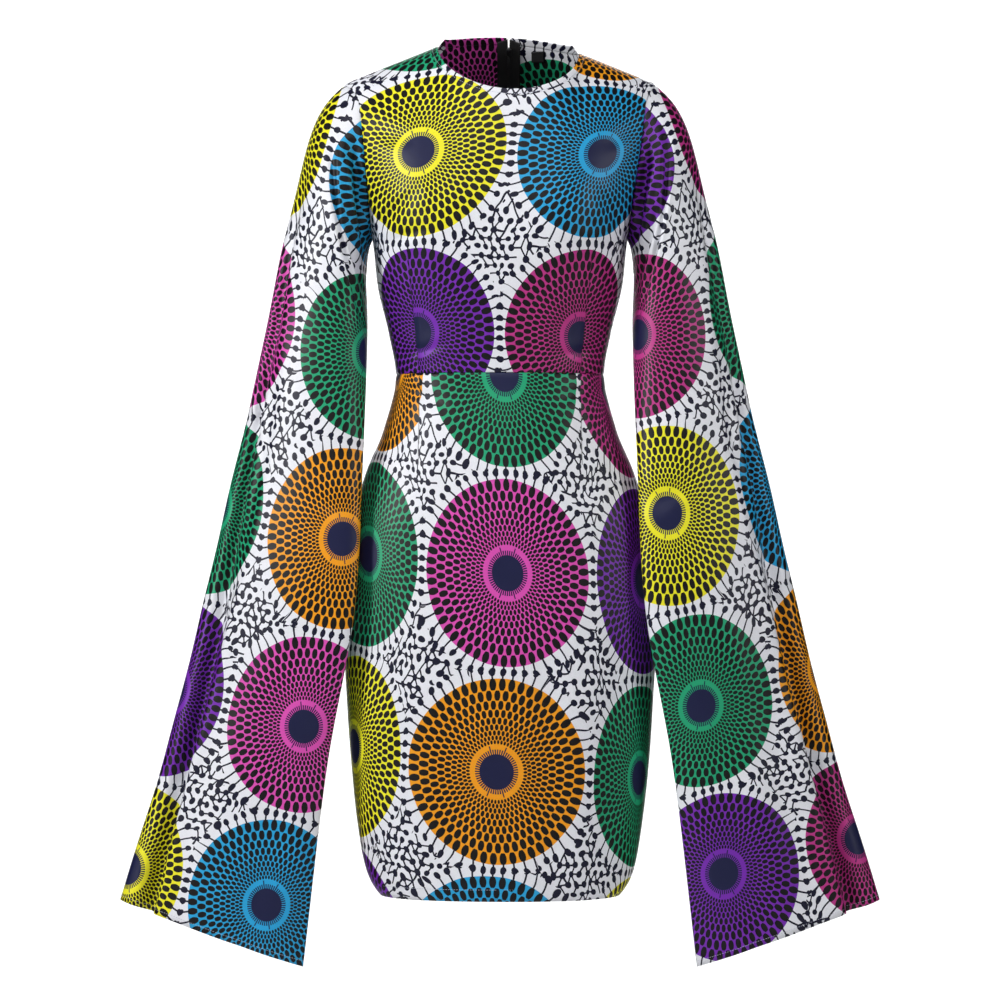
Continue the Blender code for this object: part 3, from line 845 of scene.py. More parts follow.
def neckBand(face, way, layout, flip):
    # the neck's edge turned in: the cloth that would lie beyond the edge, folded back inside
    x, z = neckEdge(np.radians(np.linspace(0, 90, 70)), face)
    aside = offEdge(x, z, 35)
    if face == "back":
        x = np.maximum(x, zipForm["tapeInner"] + 1.6)
    width = np.linspace(0, hems["neck"], 7)[:, None]
    across, up = x + aside[:, 0] * width, z + aside[:, 1] * width
    up = np.minimum(up, ridge(across) - 0.4)
    across = np.minimum(across, shoulderForm["x"])
    beyond = x - aside[:, 0] * width, z - aside[:, 1] * width
    inset = cloth["plain"] + 0.12 + 0.25 * np.sin(width / hems["neck"] * math.pi) + 0 * across
    grid = worn(onBody(across, up, face, -inset) * [way, 1, 1])
    printed = printOnBody(beyond[0] * way, np.minimum(beyond[1], 19), face, layout)
    marks = np.stack([np.full(across.shape, -1.0), 0 * across], axis=-1)
    return {"grid": grid, "print": printed, "dart": marks, "hem": 0 * across, "flip": flip}


cuffLines = []


def sleevePart(side, way):
    # the ring of each row runs over the front and back on to where it began
    rings = smoothRings()
    printed = printOnSleeve(rings, sleevePrint[side])
    front, back = rings["front"], rings["back"]
    allRound = np.concatenate([front, back[:, 1:-1]], axis=1)
    onwards = np.roll(allRound, -1, axis=1) - np.roll(allRound, 1, axis=1)
    turning = np.cross(np.gradient(allRound, axis=0), onwards)
    turning /= np.maximum(np.linalg.norm(turning, axis=2, keepdims=True), 1e-9)
    middle = turning[len(turning) // 2, front.shape[1] // 2]
    normals = turning * (-1 if middle[1] > 0 else 1)
    down = lengthsAlong(allRound, 0)
    toCuff = down[-1:] - down
    acrossFront = lengthsAlong(front, 1)
    acrossBack = -lengthsAlong(back[:, ::-1], 1)[:, ::-1]
    across = np.concatenate([acrossFront, acrossBack[:, 1:-1]], axis=1)
    toInner = acrossFront[:, -1:] - acrossFront
    width = np.concatenate([toInner, acrossBack[:, 1:-1] - acrossBack[:, :1]], axis=1)
    uneven = unevenness(across, down, cloth["sleeveUnevenness"])
    out = creases(across, down, sleeveCreases[side]) + uneven
    calmBy, step = cloth["calmBy"], cloth["hemStep"]
    calm = 1 - near(width, calmBy["seam"]) - near(down, calmBy["armhole"])
    out = out * np.clip(calm, 0, 1) + seamDitch(down) + seamDitch(width)
    out = out - step["deep"] * near(toCuff - hems["cuff"], step["wide"])
    hemmed = np.clip((hems["cuff"] - toCuff) / step["wide"], 0, 1)
    placed = worn((allRound + normals * np.clip(out, *cloth["sleeveReach"])[..., None]) * [way, 1, 1])
    # the cuff's stitched line runs round with the cloth
    row = np.argmin(np.abs(toCuff.mean(axis=1) - topstitch["in"]["cuff"]))
    line = placed[row] + normals[row] * [way, 1, 1] * topstitch["proud"]
    cuffLines.append(np.append(line, line[:1], axis=0))
    parts = []
    split = front.shape[1]
    for columns, marks in (
        (np.arange(split), printed["front"]),
        (np.append(np.arange(split - 1, allRound.shape[1]), 0), printed["back"]),
    ):
        parts.append(
            {
                "grid": placed[:, columns],
                "print": marks,
                "dart": np.broadcast_to([-1.0, 0.0], marks.shape),
                "hem": hemmed[:, columns],
                "flip": way < 0,
            }
        )
    return parts


# The print: discs of radiating dots in a net of beads and threads
waxPrint = {
    "ground": "#F1F2F9",
    "dots": "#0C090C",
    "net": "#0E0E2A",
    "eye": "#181C44",
    "inks": {
        "y": "#F5EE2A",
        "b": "#29A8E0",
        "u": "#7A2BB5",
        "p": "#E052B8",
        # m is the pink ink darkened: painted shade, a shaded copy of p standing in for pink in shade
        "m": "#C2388C",
        "g": "#22A878",
        "o": "#F9A31A",
    },
    "spokes": 54,
    "ringRatio": 0.875,
    "outerRing": 0.935,
    "eyeRadius": 0.192,
    "lashes": 54,
    "dotWide": 0.365,  # of the way to the next spoke
    "dotTall": 0.57,  # of the way to the next ring
    "dotRoundness": 1.8,
    "lashLong": 0.05,
    "lashWide": 0.3,
    "longLash": {"wide": 0.0036, "lean": 0.36, "reach": 0.285},
    "beadLong": 4.7,
    "beadWide": 3.7,
    "beadFrom": 1.085,
    "beadSpread": 0.1,
    "stray": 3.2,
    "wander": {"from": 0.98, "scale": 6.0},
    "thread": 1.05,
    "netStep": 11.2,
    "netBead": (4.1, 3.4),
    "netFrom": 1.19,
    "netThreadsFrom": 0.96,  # of that
    "netWander": ((0.2, 1.2), (0.65, 0.55)),
    "leftOut": 0.05,
    "joined": 0.45,
    "roughness": 0.45,
    "gloss": 0.3,
}


def makeGroup(name, kind, taken, gives):
    # a node group with these inputs and outputs
    group = bpy.data.node_groups.new(name, kind)
    for way, sockets in (("INPUT", taken), ("OUTPUT", gives)):
        for label, value in sockets.items():
            group.interface.new_socket(name=label, in_out=way, socket_type="NodeSocket" + value)
    return group, addNode(group, "NodeGroupInput"), addNode(group, "NodeGroupOutput")


def discMotif():
    # takes the place within a repeat, from its middle; gives the disc, its dots, its eye and its rim
    radius = repeat["discRadius"]
    taken = {"Place": "Vector", "Where": "Vector", "Spot": "Float"}
    gives = {"Disc": "Float", "Dots": "Float", "Eye": "Float", "Rim": "Float", "Radius": "Float"}
    group, given, result = makeGroup("disc motif", "ShaderNodeTree", taken, gives)
    # past its edge the drawing wanders, more the further out
    length = addNode(group, "VectorMath", [given.outputs["Place"]], "LENGTH").outputs["Value"]
    beyond = addNode(group, "Math", [length, waxPrint["wander"]["from"] * radius], "SUBTRACT")
    beyond = addNode(group, "Math", [beyond, 0.0], "MAXIMUM")
    often = {"Vector": given.outputs["Where"], "Scale": waxPrint["wander"]["scale"], "Detail": 0.0}
    wander = addNode(group, "TexNoise", often)
    wander = addNode(group, "VectorMath", [wander.outputs["Color"], (0.5, 0.5, 0.5)], "SUBTRACT")
    wander = addNode(group, "VectorMath", {0: wander, "Scale": beyond}, "SCALE")
    inPlane = [wander, (1.0, 1.0, 0.0), given.outputs["Place"]]
    place = addNode(group, "VectorMath", inPlane, "MULTIPLY_ADD")
    length = addNode(group, "VectorMath", [place], "LENGTH").outputs["Value"]
    r = addNode(group, "Math", [length, radius], "DIVIDE")
    flat = addNode(group, "SeparateXYZ", [place])
    x, y = flat.outputs[0], flat.outputs[1]
    angle = addNode(group, "Math", [y, x], "ARCTAN2")
    turn = addNode(group, "Math", [angle, 1 / (2 * math.pi), 1.0], "MULTIPLY_ADD")
    spoke = addNode(group, "Math", [turn, float(waxPrint["spokes"])], "MULTIPLY")
    # rings of dots, each ring a fixed share smaller than the last and half a spoke round from it
    outwards = addNode(group, "Math", [r, waxPrint["outerRing"]], "DIVIDE")
    ring = addNode(group, "Math", [outwards, waxPrint["ringRatio"]], "LOGARITHM")
    ringNumber = addNode(group, "Math", [ring], "ROUND")
    half = addNode(group, "Math", [ringNumber, 0.5], "MULTIPLY")
    stagger = addNode(group, "Math", [half], "FRACT")
    shifted = addNode(group, "Math", [spoke, stagger], "ADD")
    shifted = addNode(group, "Math", [shifted], "FRACT")
    fromSpoke = addNode(group, "Math", [shifted, 0.5], "SUBTRACT")
    fromRing = addNode(group, "Math", [ring, ringNumber], "SUBTRACT")
    wide = addNode(group, "Math", [fromSpoke, 1 / waxPrint["dotWide"]], "MULTIPLY")
    wide = addNode(group, "Math", [wide, wide], "MULTIPLY")
    tall = addNode(group, "Math", [fromRing, 1 / waxPrint["dotTall"]], "MULTIPLY")
    tall = addNode(group, "Math", [tall], "ABSOLUTE")
    tall = addNode(group, "Math", [tall, waxPrint["dotRoundness"]], "POWER")
    dot = addNode(group, "Math", [wide, tall], "ADD")
    dot = addNode(group, "Math", [dot, 1.0], "LESS_THAN")
    within = addNode(group, "Math", [ring, 4.0, 4.5], "COMPARE")
    dots = addNode(group, "Math", [dot, within], "MULTIPLY")
    # the eye, short lashes all round it and four long ones above and below
    eye = addNode(group, "Math", [r, waxPrint["eyeRadius"]], "LESS_THAN")
    lash = addNode(group, "Math", [turn, float(waxPrint["lashes"])], "MULTIPLY")
    lash = addNode(group, "Math", [lash], "FRACT")
    lash = addNode(group, "Math", [lash, 0.5, waxPrint["lashWide"]], "COMPARE")
    short = addNode(group, "Math", [r, waxPrint["eyeRadius"] + waxPrint["lashLong"]], "LESS_THAN")
    lash = addNode(group, "Math", [lash, short], "MULTIPLY")
    longLash = waxPrint["longLash"]
    sideways = addNode(group, "Math", [x], "ABSOLUTE")
    upwards = addNode(group, "Math", [y], "ABSOLUTE")
    slanted = addNode(group, "Math", [upwards, longLash["lean"]], "MULTIPLY")
    long = addNode(group, "Math", [sideways, slanted, longLash["wide"]], "COMPARE")
    inRing = addNode(group, "Math", [r, longLash["reach"]], "LESS_THAN")
    long = addNode(group, "Math", [long, inRing], "MULTIPLY")
    eye = addNode(group, "Math", [eye, lash], "MAXIMUM")
    eye = addNode(group, "Math", [eye, long], "MAXIMUM")
    # outside the disc each outermost dot has a thread and a bead, shared with the next disc's
    number = addNode(group, "Math", [spoke], "FLOOR")
    seed = addNode(group, "Math", [number, given.outputs["Spot"]], "ADD")
    chance = addNode(group, "TexWhiteNoise", {"W": seed}, noise_dimensions="1D")
    free = addNode(group, "Math", [chance, waxPrint["beadSpread"], waxPrint["beadFrom"]], "MULTIPLY_ADD")
    longest = addNode(group, "Math", [sideways, upwards], "MAXIMUM")
    toEdge = addNode(group, "Math", [r, longest], "DIVIDE")
    toEdge = addNode(group, "Math", [toEdge, 0.5], "MULTIPLY")
    room = addNode(group, "Math", [toEdge, free], "SUBTRACT")
    shared = addNode(group, "Math", [room, 0.05], "LESS_THAN")
    beadAt = addNode(group, "Math", [room, shared, free], "MULTIPLY_ADD")
    discMm = radius * repeat["wide"]
    fromBead = addNode(group, "Math", [r, beadAt], "SUBTRACT")
    fromBead = addNode(group, "Math", [fromBead, discMm / waxPrint["beadLong"]], "MULTIPLY")
    fromBead = addNode(group, "Math", [fromBead, fromBead], "MULTIPLY")
    centred = addNode(group, "Math", [spoke], "FRACT")
    centred = addNode(group, "Math", [centred, 0.5], "SUBTRACT")
    # each thread strays a little to one side as it goes out
    stray = addNode(group, "SeparateColor", [chance.outputs["Color"]])
    stray = addNode(group, "Math", [stray.outputs[1], 0.5], "SUBTRACT")
    beyond = addNode(group, "Math", [r, 1.0], "SUBTRACT")
    stray = addNode(group, "Math", [stray, beyond], "MULTIPLY")
    alone = addNode(group, "Math", [1.0, shared], "SUBTRACT")
    stray = addNode(group, "Math", [stray, alone], "MULTIPLY")
    centred = addNode(group, "Math", [stray, waxPrint["stray"], centred], "MULTIPLY_ADD")
    aside = addNode(group, "Math", [centred, r], "MULTIPLY")
    aside = addNode(group, "Math", [aside, 2 * math.pi * discMm / waxPrint["spokes"]], "MULTIPLY")
    beadAside = addNode(group, "Math", [aside, 1 / waxPrint["beadWide"]], "MULTIPLY")
    beadAside = addNode(group, "Math", [beadAside, beadAside], "MULTIPLY")
    bead = addNode(group, "Math", [fromBead, beadAside], "ADD")
    bead = addNode(group, "Math", [bead, 1.0], "LESS_THAN")
    thread = addNode(group, "Math", [aside, 0.0, waxPrint["thread"]], "COMPARE")
    reached = addNode(group, "Math", [r, beadAt], "LESS_THAN")
    begun = addNode(group, "Math", [r, 0.95], "GREATER_THAN")
    thread = addNode(group, "Math", [thread, reached], "MULTIPLY")
    thread = addNode(group, "Math", [thread, begun], "MULTIPLY")
    rim = addNode(group, "Math", [bead, thread], "MAXIMUM")
    disc = addNode(group, "Math", [r, 1.0], "LESS_THAN")
    for label, value in (("Disc", disc), ("Dots", dots), ("Eye", eye), ("Rim", rim), ("Radius", r)):
        group.links.new(value.outputs[0], result.inputs[label])
    return group


def beadNet():
    # takes the place on the cloth in repeats; beads in staggered rows that wander, many joined to
    # a neighbour
    step = waxPrint["netStep"]
    scale = (repeat["wide"] / step, repeat["tall"] / step, 0.0)
    back = (step / repeat["wide"], step / repeat["tall"], 0.0)
    nearDisc = repeat["discRadius"] * waxPrint["netFrom"]
    group, given, result = makeGroup("bead net", "ShaderNodeTree", {"Place": "Vector"}, {"Net": "Float"})
    place = addNode(group, "VectorMath", [given.outputs["Place"], scale], "MULTIPLY")
    bent = place
    for often, reach in waxPrint["netWander"]:
        drift = addNode(group, "TexNoise", {"Vector": place, "Scale": often, "Detail": 0.0})
        drift = addNode(group, "VectorMath", [drift.outputs["Color"], (0.5, 0.5, 0.5)], "SUBTRACT")
        bent = addNode(group, "VectorMath", [drift, (reach, reach, 0.0), bent], "MULTIPLY_ADD")
    flat = addNode(group, "SeparateXYZ", [bent])
    x, y = flat.outputs[0], flat.outputs[1]

    def chanceAt(column, row):
        # one chance for each place in the rows
        spot = addNode(group, "CombineXYZ", [column, row])
        return addNode(group, "TexWhiteNoise", {"Vector": spot}, noise_dimensions="2D")

    def joined(gap, column, row):
        # a thread this near the line, where its chance allows
        drawn = addNode(group, "Math", [gap, 0.0, waxPrint["thread"] / step], "COMPARE")
        kept = addNode(group, "Math", [chanceAt(column, row), waxPrint["joined"]], "LESS_THAN")
        return addNode(group, "Math", [drawn, kept], "MULTIPLY")

    row = addNode(group, "Math", [y], "FLOOR")
    stagger = addNode(group, "Math", [row, 0.5], "MULTIPLY")
    stagger = addNode(group, "Math", [stagger], "FRACT")
    along = addNode(group, "Math", [x, stagger], "ADD")
    column = addNode(group, "Math", [along], "FLOOR")
    right = addNode(group, "Math", [along], "FRACT")
    right = addNode(group, "Math", [right, 0.5], "SUBTRACT")
    up = addNode(group, "Math", [y], "FRACT")
    up = addNode(group, "Math", [up, 0.5], "SUBTRACT")
    here = addNode(group, "CombineXYZ", [right, up])
    # the bead, an oval turned its own way; a few are left out
    chance = chanceAt(column, row)
    turn = addNode(group, "SeparateColor", [chance.outputs["Color"]])
    turn = addNode(group, "Math", [turn, math.pi], "MULTIPLY")
    turned = addNode(group, "VectorRotate", {"Vector": here, "Angle": turn}, rotation_type="Z_AXIS")
    size = (step / waxPrint["netBead"][0], step / waxPrint["netBead"][1], 0.0)
    oval = addNode(group, "VectorMath", [turned, size], "MULTIPLY")
    oval = addNode(group, "VectorMath", [oval], "LENGTH").outputs["Value"]
    bead = addNode(group, "Math", [oval, 1.0], "LESS_THAN")
    drawn = addNode(group, "Math", [chance, waxPrint["leftOut"]], "GREATER_THAN")
    bead = addNode(group, "Math", [bead, drawn], "MULTIPLY")
    # threads along the row, then up to the left and up to the right
    between = addNode(group, "Math", [along, 0.5], "ADD")
    between = addNode(group, "Math", [between], "FLOOR")
    rowAgain = addNode(group, "Math", [row, 0.37], "ADD")
    thread = joined(up, between, rowAgain)
    raised = addNode(group, "Math", [y, 0.5], "SUBTRACT")
    lower = addNode(group, "Math", [raised], "FLOOR")
    climbed = addNode(group, "Math", [raised], "FRACT")
    stagger = addNode(group, "Math", [lower, 0.5], "MULTIPLY")
    stagger = addNode(group, "Math", [stagger], "FRACT")
    base = addNode(group, "Math", [x, stagger], "ADD")
    base = addNode(group, "Math", [base, 0.5], "SUBTRACT")
    for way in (-0.5, 0.5):
        slanted = addNode(group, "Math", [climbed, -way, base], "MULTIPLY_ADD")
        nearest = addNode(group, "Math", [slanted], "ROUND")
        gap = addNode(group, "Math", [slanted, nearest], "SUBTRACT")
        gap = addNode(group, "Math", [gap, 0.894], "MULTIPLY")
        lowerAgain = addNode(group, "Math", [lower, 0.2 * way + 0.6], "ADD")
        another = joined(gap, nearest, lowerAgain)
        thread = addNode(group, "Math", [thread, another], "MAXIMUM")
    # beads keep clear of the discs by where their middles are, threads by where they are themselves
    middle = addNode(group, "VectorMath", [place, here], "SUBTRACT")
    parts = []
    for spot, part, nearest in ((middle, bead, 1.0), (place, thread, waxPrint["netThreadsFrom"])):
        inRepeats = addNode(group, "VectorMath", [spot, back], "MULTIPLY")
        within = addNode(group, "VectorMath", [inRepeats], "FRACTION")
        within = addNode(group, "VectorMath", [within, (0.5, 0.5, 0.0)], "SUBTRACT")
        far = addNode(group, "VectorMath", [within], "LENGTH").outputs["Value"]
        far = addNode(group, "Math", [far, nearDisc * nearest], "GREATER_THAN")
        parts.append(addNode(group, "Math", [far, part], "MULTIPLY"))
    drawing = addNode(group, "Math", parts, "MAXIMUM")
    group.links.new(drawing.outputs[0], result.inputs["Net"])
    return group


motif = discMotif()
net = beadNet()


def waxPrintCotton(name, chart):
    # wax print cotton, plain woven and calendered: flat strong inks with crisp edges, and a soft gloss
    material, tree, shader = newMaterial(name)
    printed = addNode(tree, "UVMap", uv_map="print")
    marks = addNode(tree, "UVMap", uv_map="dart")
    marks = addNode(tree, "SeparateXYZ", [marks])
    past = addNode(tree, "Math", [marks.outputs[0], 0.0], "GREATER_THAN")
    taken = addNode(tree, "Math", [past, marks.outputs[1]], "MULTIPLY")
    taken = addNode(tree, "CombineXYZ", [taken])
    place = addNode(tree, "VectorMath", [printed, taken], "ADD")
    cell = addNode(tree, "VectorMath", [place], "FLOOR")
    local = addNode(tree, "VectorMath", [place], "FRACTION")
    local = addNode(tree, "VectorMath", [local, (0.5, 0.5, 0.0)], "SUBTRACT")
    # the chart's letters, numbered along its rows
    columns, count = len(chart[0]), len(chart) * len(chart[0])
    numbers = addNode(tree, "SeparateXYZ", [cell])
    number = addNode(tree, "Math", [numbers.outputs[1], float(columns), 0.5], "MULTIPLY_ADD")
    number = addNode(tree, "Math", [number, numbers.outputs[0]], "ADD")
    share = addNode(tree, "Math", [number, float(count)], "DIVIDE")
    inks = addNode(tree, "ValToRGB", [share])
    inks.color_ramp.interpolation = "CONSTANT"
    letters = "".join(chart)
    stops = inks.color_ramp.elements
    for k, letter in enumerate(letters):
        stop = stops[k] if k < len(stops) else stops.new(k / count)
        stop.position = k / count
        stop.color = linear(waxPrint["inks"][letter])
    disc = addNode(tree, "Group", node_tree=motif)
    tree.links.new(local.outputs[0], disc.inputs["Place"])
    tree.links.new(place.outputs[0], disc.inputs["Where"])
    tree.links.new(number.outputs[0], disc.inputs["Spot"])
    mesh = addNode(tree, "Group", node_tree=net)
    tree.links.new(place.outputs[0], mesh.inputs["Place"])
    dark = addNode(tree, "Math", [mesh, disc.outputs["Rim"]], "MAXIMUM")
    colours = {0: dark, 6: linear(waxPrint["ground"]), 7: linear(waxPrint["net"])}
    base = addNode(tree, "Mix", colours, data_type="RGBA")
    over = {"Disc": inks.outputs[0], "Dots": linear(waxPrint["dots"]), "Eye": linear(waxPrint["eye"])}
    for part, colour in over.items():
        colours = {0: disc.outputs[part], 6: base.outputs[2], 7: colour}
        base = addNode(tree, "Mix", colours, data_type="RGBA")
    # the ink takes a little unevenly, and along the dart's stitched line the colour is darkened: painted
    # shade, standing in for the shadow in the dart's groove
    where = addNode(tree, "TexCoord").outputs["Object"]
    uneven = addNode(tree, "TexNoise", {"Vector": where, "Scale": 900.0, "Detail": 2.0})
    between = {"Value": uneven, "From Min": 0.25, "From Max": 0.75, "To Min": 0.9, "To Max": 1.0}
    uneven = addNode(tree, "MapRange", between)
    line = addNode(tree, "Math", [marks.outputs[0], 0.0, 0.7], "COMPARE")
    amount = addNode(tree, "Math", [marks.outputs[1]], "ABSOLUTE")
    stitched = addNode(tree, "Math", [amount, 0.0015], "GREATER_THAN")
    line = addNode(tree, "Math", [line, stitched], "MULTIPLY")
    # painted shade: the colour taken down by nearly half along the dart's line
    shade = addNode(tree, "Math", [line, -0.45, 1.0], "MULTIPLY_ADD")
    shade = addNode(tree, "Math", [shade, uneven], "MULTIPLY")
    base = addNode(tree, "VectorMath", {0: base.outputs[2], "Scale": shade}, "SCALE")
    tree.links.new(base.outputs[0], shader.inputs["Base Color"])
    # threads about 0.4 mm apart, drawn 1 mm so that they show
    threads = {"Vector": where, "Scale": 1000.0, "Randomness": 0.25}
    weave = addNode(tree, "TexVoronoi", threads, distance="CHEBYCHEV")
    slub = addNode(tree, "TexNoise", {"Vector": where, "Scale": 160.0, "Detail": 3.0})
    height = addNode(tree, "Math", [slub, 0.8, weave.outputs["Distance"]], "MULTIPLY_ADD")
    bump = addNode(tree, "Bump", {"Strength": 0.25, "Distance": 0.0003, "Height": height})
    tree.links.new(bump.outputs[0], shader.inputs["Normal"])
    shader.inputs["Roughness"].default_value = waxPrint["roughness"]
    shader.inputs["Specular IOR Level"].default_value = waxPrint["gloss"]
    return material


# The eight cut pieces
bodiceFront, skirtFront = bodiceEnds("front", onFold), skirtEnds("front", onFold)
bodiceBack, skirtBack = bodiceEnds("back", besideZip), skirtEnds("back", besideZip)
pieces = {
    "bodice_front": ("bodiceFront", [("front", bodiceFront, 1, False), ("front", bodiceFront, -1, True)]),
    "bodice_back_left": ("bodiceBackLeft", [("back", bodiceBack, 1, True)]),
    "bodice_back_right": ("bodiceBackRight", [("back", bodiceBack, -1, False)]),
    "skirt_front": ("skirtFront", [("front", skirtFront, 1, True), ("front", skirtFront, -1, False)]),
    "skirt_back_left": ("skirtBackLeft", [("back", skirtBack, 1, False)]),
    "skirt_back_right": ("skirtBackRight", [("back", skirtBack, -1, True)]),
}
dartOf = {
    "bodiceFront": "bodiceFront",
    "skirtFront": "skirtFront",
    "skirtBackLeft": "skirtBack",
    "skirtBackRight": "skirtBack",
}


def hang(name, parts, printName, chart, bands=()):
    material = waxPrintCotton("wax print cotton, " + printName, chart)
    piece = makeCloth(name + "_cloth", parts, material)
    finish(piece, "wax_print_cotton", name)
    folded = []
    if bands:
        folded = [makeCloth(name + "_neck_hem", bands, material)]
        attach(folded[0], dressBody)


for name, (layoutName, halves) in pieces.items():
    layout = bodyPrint[layoutName]
    dart = darts.get(dartOf.get(layoutName))
    parts = [bodyPart(face, ends, way, layout, dart, flip) for face, ends, way, flip in halves]
    bands = []
    if name.startswith("bodice"):
        bands = [neckBand(face, way, layout, flip) for face, ends, way, flip in halves]
    hang(name, parts, name.replace("_", " "), layout["chart"], bands)
for side, way in (("left", 1), ("right", -1)):
    hang("sleeve_" + side, sleevePart(side, way), side + " sleeve", sleevePrint[side]["chart"])
print("cloth ready")


def sewnThread(name, colour):
    # spun polyester sewing thread: matt, the twist's faint shine and shade painted into its colour as
    # lighter and darker bands, with a bump along the same twist
    material, tree, shader = newMaterial(name)
    where = addNode(tree, "TexCoord").outputs["Object"]
    twist = addNode(tree, "TexWave", {"Vector": where, "Scale": 900.0, "Distortion": 1.0})
    # painted highlight and shade: the colour lighter and darker along the twist
    tone = addNode(tree, "MapRange", {"Value": twist.outputs["Fac"], "To Min": 0.7, "To Max": 1.0})
    base = addNode(tree, "VectorMath", {0: linear(colour)[:3], "Scale": tone}, "SCALE")
    tree.links.new(base.outputs[0], shader.inputs["Base Color"])
    bump = addNode(tree, "Bump", {"Strength": 0.3, "Distance": 0.0001, "Height": twist.outputs["Fac"]})
    tree.links.new(bump.outputs[0], shader.inputs["Normal"])
    shader.inputs["Roughness"].default_value = 0.55
    return material


def repeater(name):
    # one small rounded shape at each step along the given line, lying the way the line runs
    taken = {"Line": "Geometry", "Step": "Float", "Size": "Vector", "Turn": "Vector"}
    taken["Material"] = "Material"
    tree, given, result = makeGroup(name, "GeometryNodeTree", taken, {"Shape": "Geometry"})
    line = addNode(tree, "GeometryNodeMeshToCurve", {"Mesh": given.outputs["Line"]})
    spacing = {"Curve": line, "Length": given.outputs["Step"]}
    steps = addNode(tree, "GeometryNodeResampleCurve", spacing, mode="LENGTH")
    tangent = addNode(tree, "GeometryNodeInputTangent")
    aim = addNode(tree, "FunctionNodeAlignRotationToVector", {"Vector": tangent}, axis="X")
    lean = addNode(tree, "FunctionNodeRotateRotation", {"Rotation": aim}, rotation_space="LOCAL")
    turn = addNode(tree, "FunctionNodeEulerToRotation", {"Euler": given.outputs["Turn"]})
    tree.links.new(turn.outputs[0], lean.inputs["Rotate By"])
    shape = addNode(tree, "GeometryNodeMeshUVSphere", {"Segments": 6, "Rings": 4, "Radius": 0.5})
    places = {"Points": steps, "Instance": shape, "Rotation": lean, "Scale": given.outputs["Size"]}
    placed = addNode(tree, "GeometryNodeInstanceOnPoints", places)
    real = addNode(tree, "GeometryNodeRealizeInstances", [placed])
    smooth = addNode(tree, "GeometryNodeSetShadeSmooth", [real])
    finished = {"Geometry": smooth, "Material": given.outputs["Material"]}
    made = addNode(tree, "GeometryNodeSetMaterial", finished)
    tree.links.new(made.outputs[0], result.inputs["Shape"])
    return tree


repeated = repeater("rounded shapes along a line")


def alongLines(name, lines, step, size, turn, material):
    # lines are rows of points in millimetres; the result is one plain mesh
    mesh = bpy.data.meshes.new(name + " lines")
    points, edges = [], []
    for line in lines:
        edges += [(len(points) + k, len(points) + k + 1) for k in range(len(line) - 1)]
        points += (np.asarray(line) * mm).tolist()
    mesh.from_pydata(points, edges, [])
    holder = bpy.data.objects.new(name + " lines", mesh)
    bpy.context.scene.collection.objects.link(holder)
    modifier = holder.modifiers.new("repeat", "NODES")
    modifier.node_group = repeated
    values = {"Step": step * mm, "Size": [v * mm for v in size], "Turn": turn, "Material": material}
    for item in repeated.interface.items_tree:
        if item.in_out == "INPUT" and item.name in values:
            modifier[item.identifier] = values[item.name]
    evaluated = holder.evaluated_get(bpy.context.evaluated_depsgraph_get())
    made = bpy.data.meshes.new_from_object(evaluated)
    bpy.data.objects.remove(holder)
    made.materials.clear()
    return newObject(name, made, material)


def onBothSides(points):
    return np.concatenate([(points * [-1, 1, 1])[:0:-1], points])


def stitchLines():
    # a line round the neck, round the skirt's hem and round each cuff
    turn = np.radians(np.linspace(0, 90, 60))
    lines = {"neck": [], "hem": []}
    for face in ("front", "back"):
        x, z = neckEdge(turn, face)
        out = offEdge(x, z, 30) * topstitch["in"]["neck"]
        x, z = x + out[:, 0], z + out[:, 1]
        keep = (z < ridge(x) - 2.5) & (x > (3 if face == "back" else -1))
        line = onBody(x[keep], z[keep], face, topstitch["proud"])
        if face == "front":
            lines["neck"].append(worn(onBothSides(line)))
        else:
            lines["neck"] += [worn(line), worn(line * [-1, 1, 1])]
    z = bodyForm["hem"] + topstitch["in"]["skirt"]
    x = float(bodySize("halfWidth", z)) * np.sin(np.linspace(0, math.pi / 2, 90)) * 0.9995
    for face in ("front", "back"):
        line = onBody(x[2:], np.full(88, z), face, topstitch["proud"] - 0.35)
        lines["hem"] += [worn(line), worn(line * [-1, 1, 1])]
    return lines


def makeStitches(cuffLines):
    lines = stitchLines()
    pale = sewnThread("polyester sewing thread, pale", "#C9CBDD")
    size = (topstitch["long"], topstitch["wide"], topstitch["wide"])
    groups = {"neck_stitches": lines["neck"], "hem_stitches": lines["hem"], "cuff_stitches": cuffLines}
    for name, group in groups.items():
        piece = alongLines(name, group, topstitch["step"], size, (0, 0, 0), pale)
        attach(piece, dressBody)


def darkWoven(name, colour, rib, ribAcross):
    # polyester tape woven with fine ribs: matt black that greys a little on the ribs
    material, tree, shader = newMaterial(name)
    where = addNode(tree, "TexCoord").outputs["Object"]
    lie = {"Vector": where, "Scale": 0.314 / (rib * mm), "Distortion": 0.2}
    ribs = addNode(tree, "TexWave", lie, bands_direction="Z" if ribAcross else "X")
    specks = addNode(tree, "TexNoise", {"Vector": where, "Scale": 1400.0, "Detail": 2.0})
    tone = addNode(tree, "Math", [ribs.outputs["Fac"], specks.outputs["Fac"]], "MULTIPLY")
    tone = addNode(tree, "MapRange", {"Value": tone, "To Min": 0.7, "To Max": 1.9})
    base = addNode(tree, "VectorMath", {0: linear(colour)[:3], "Scale": tone}, "SCALE")
    tree.links.new(base.outputs[0], shader.inputs["Base Color"])
    bump = addNode(tree, "Bump", {"Strength": 0.5, "Distance": 0.0002, "Height": ribs.outputs["Fac"]})
    tree.links.new(bump.outputs[0], shader.inputs["Normal"])
    shader.inputs["Roughness"].default_value = 0.75
    return material


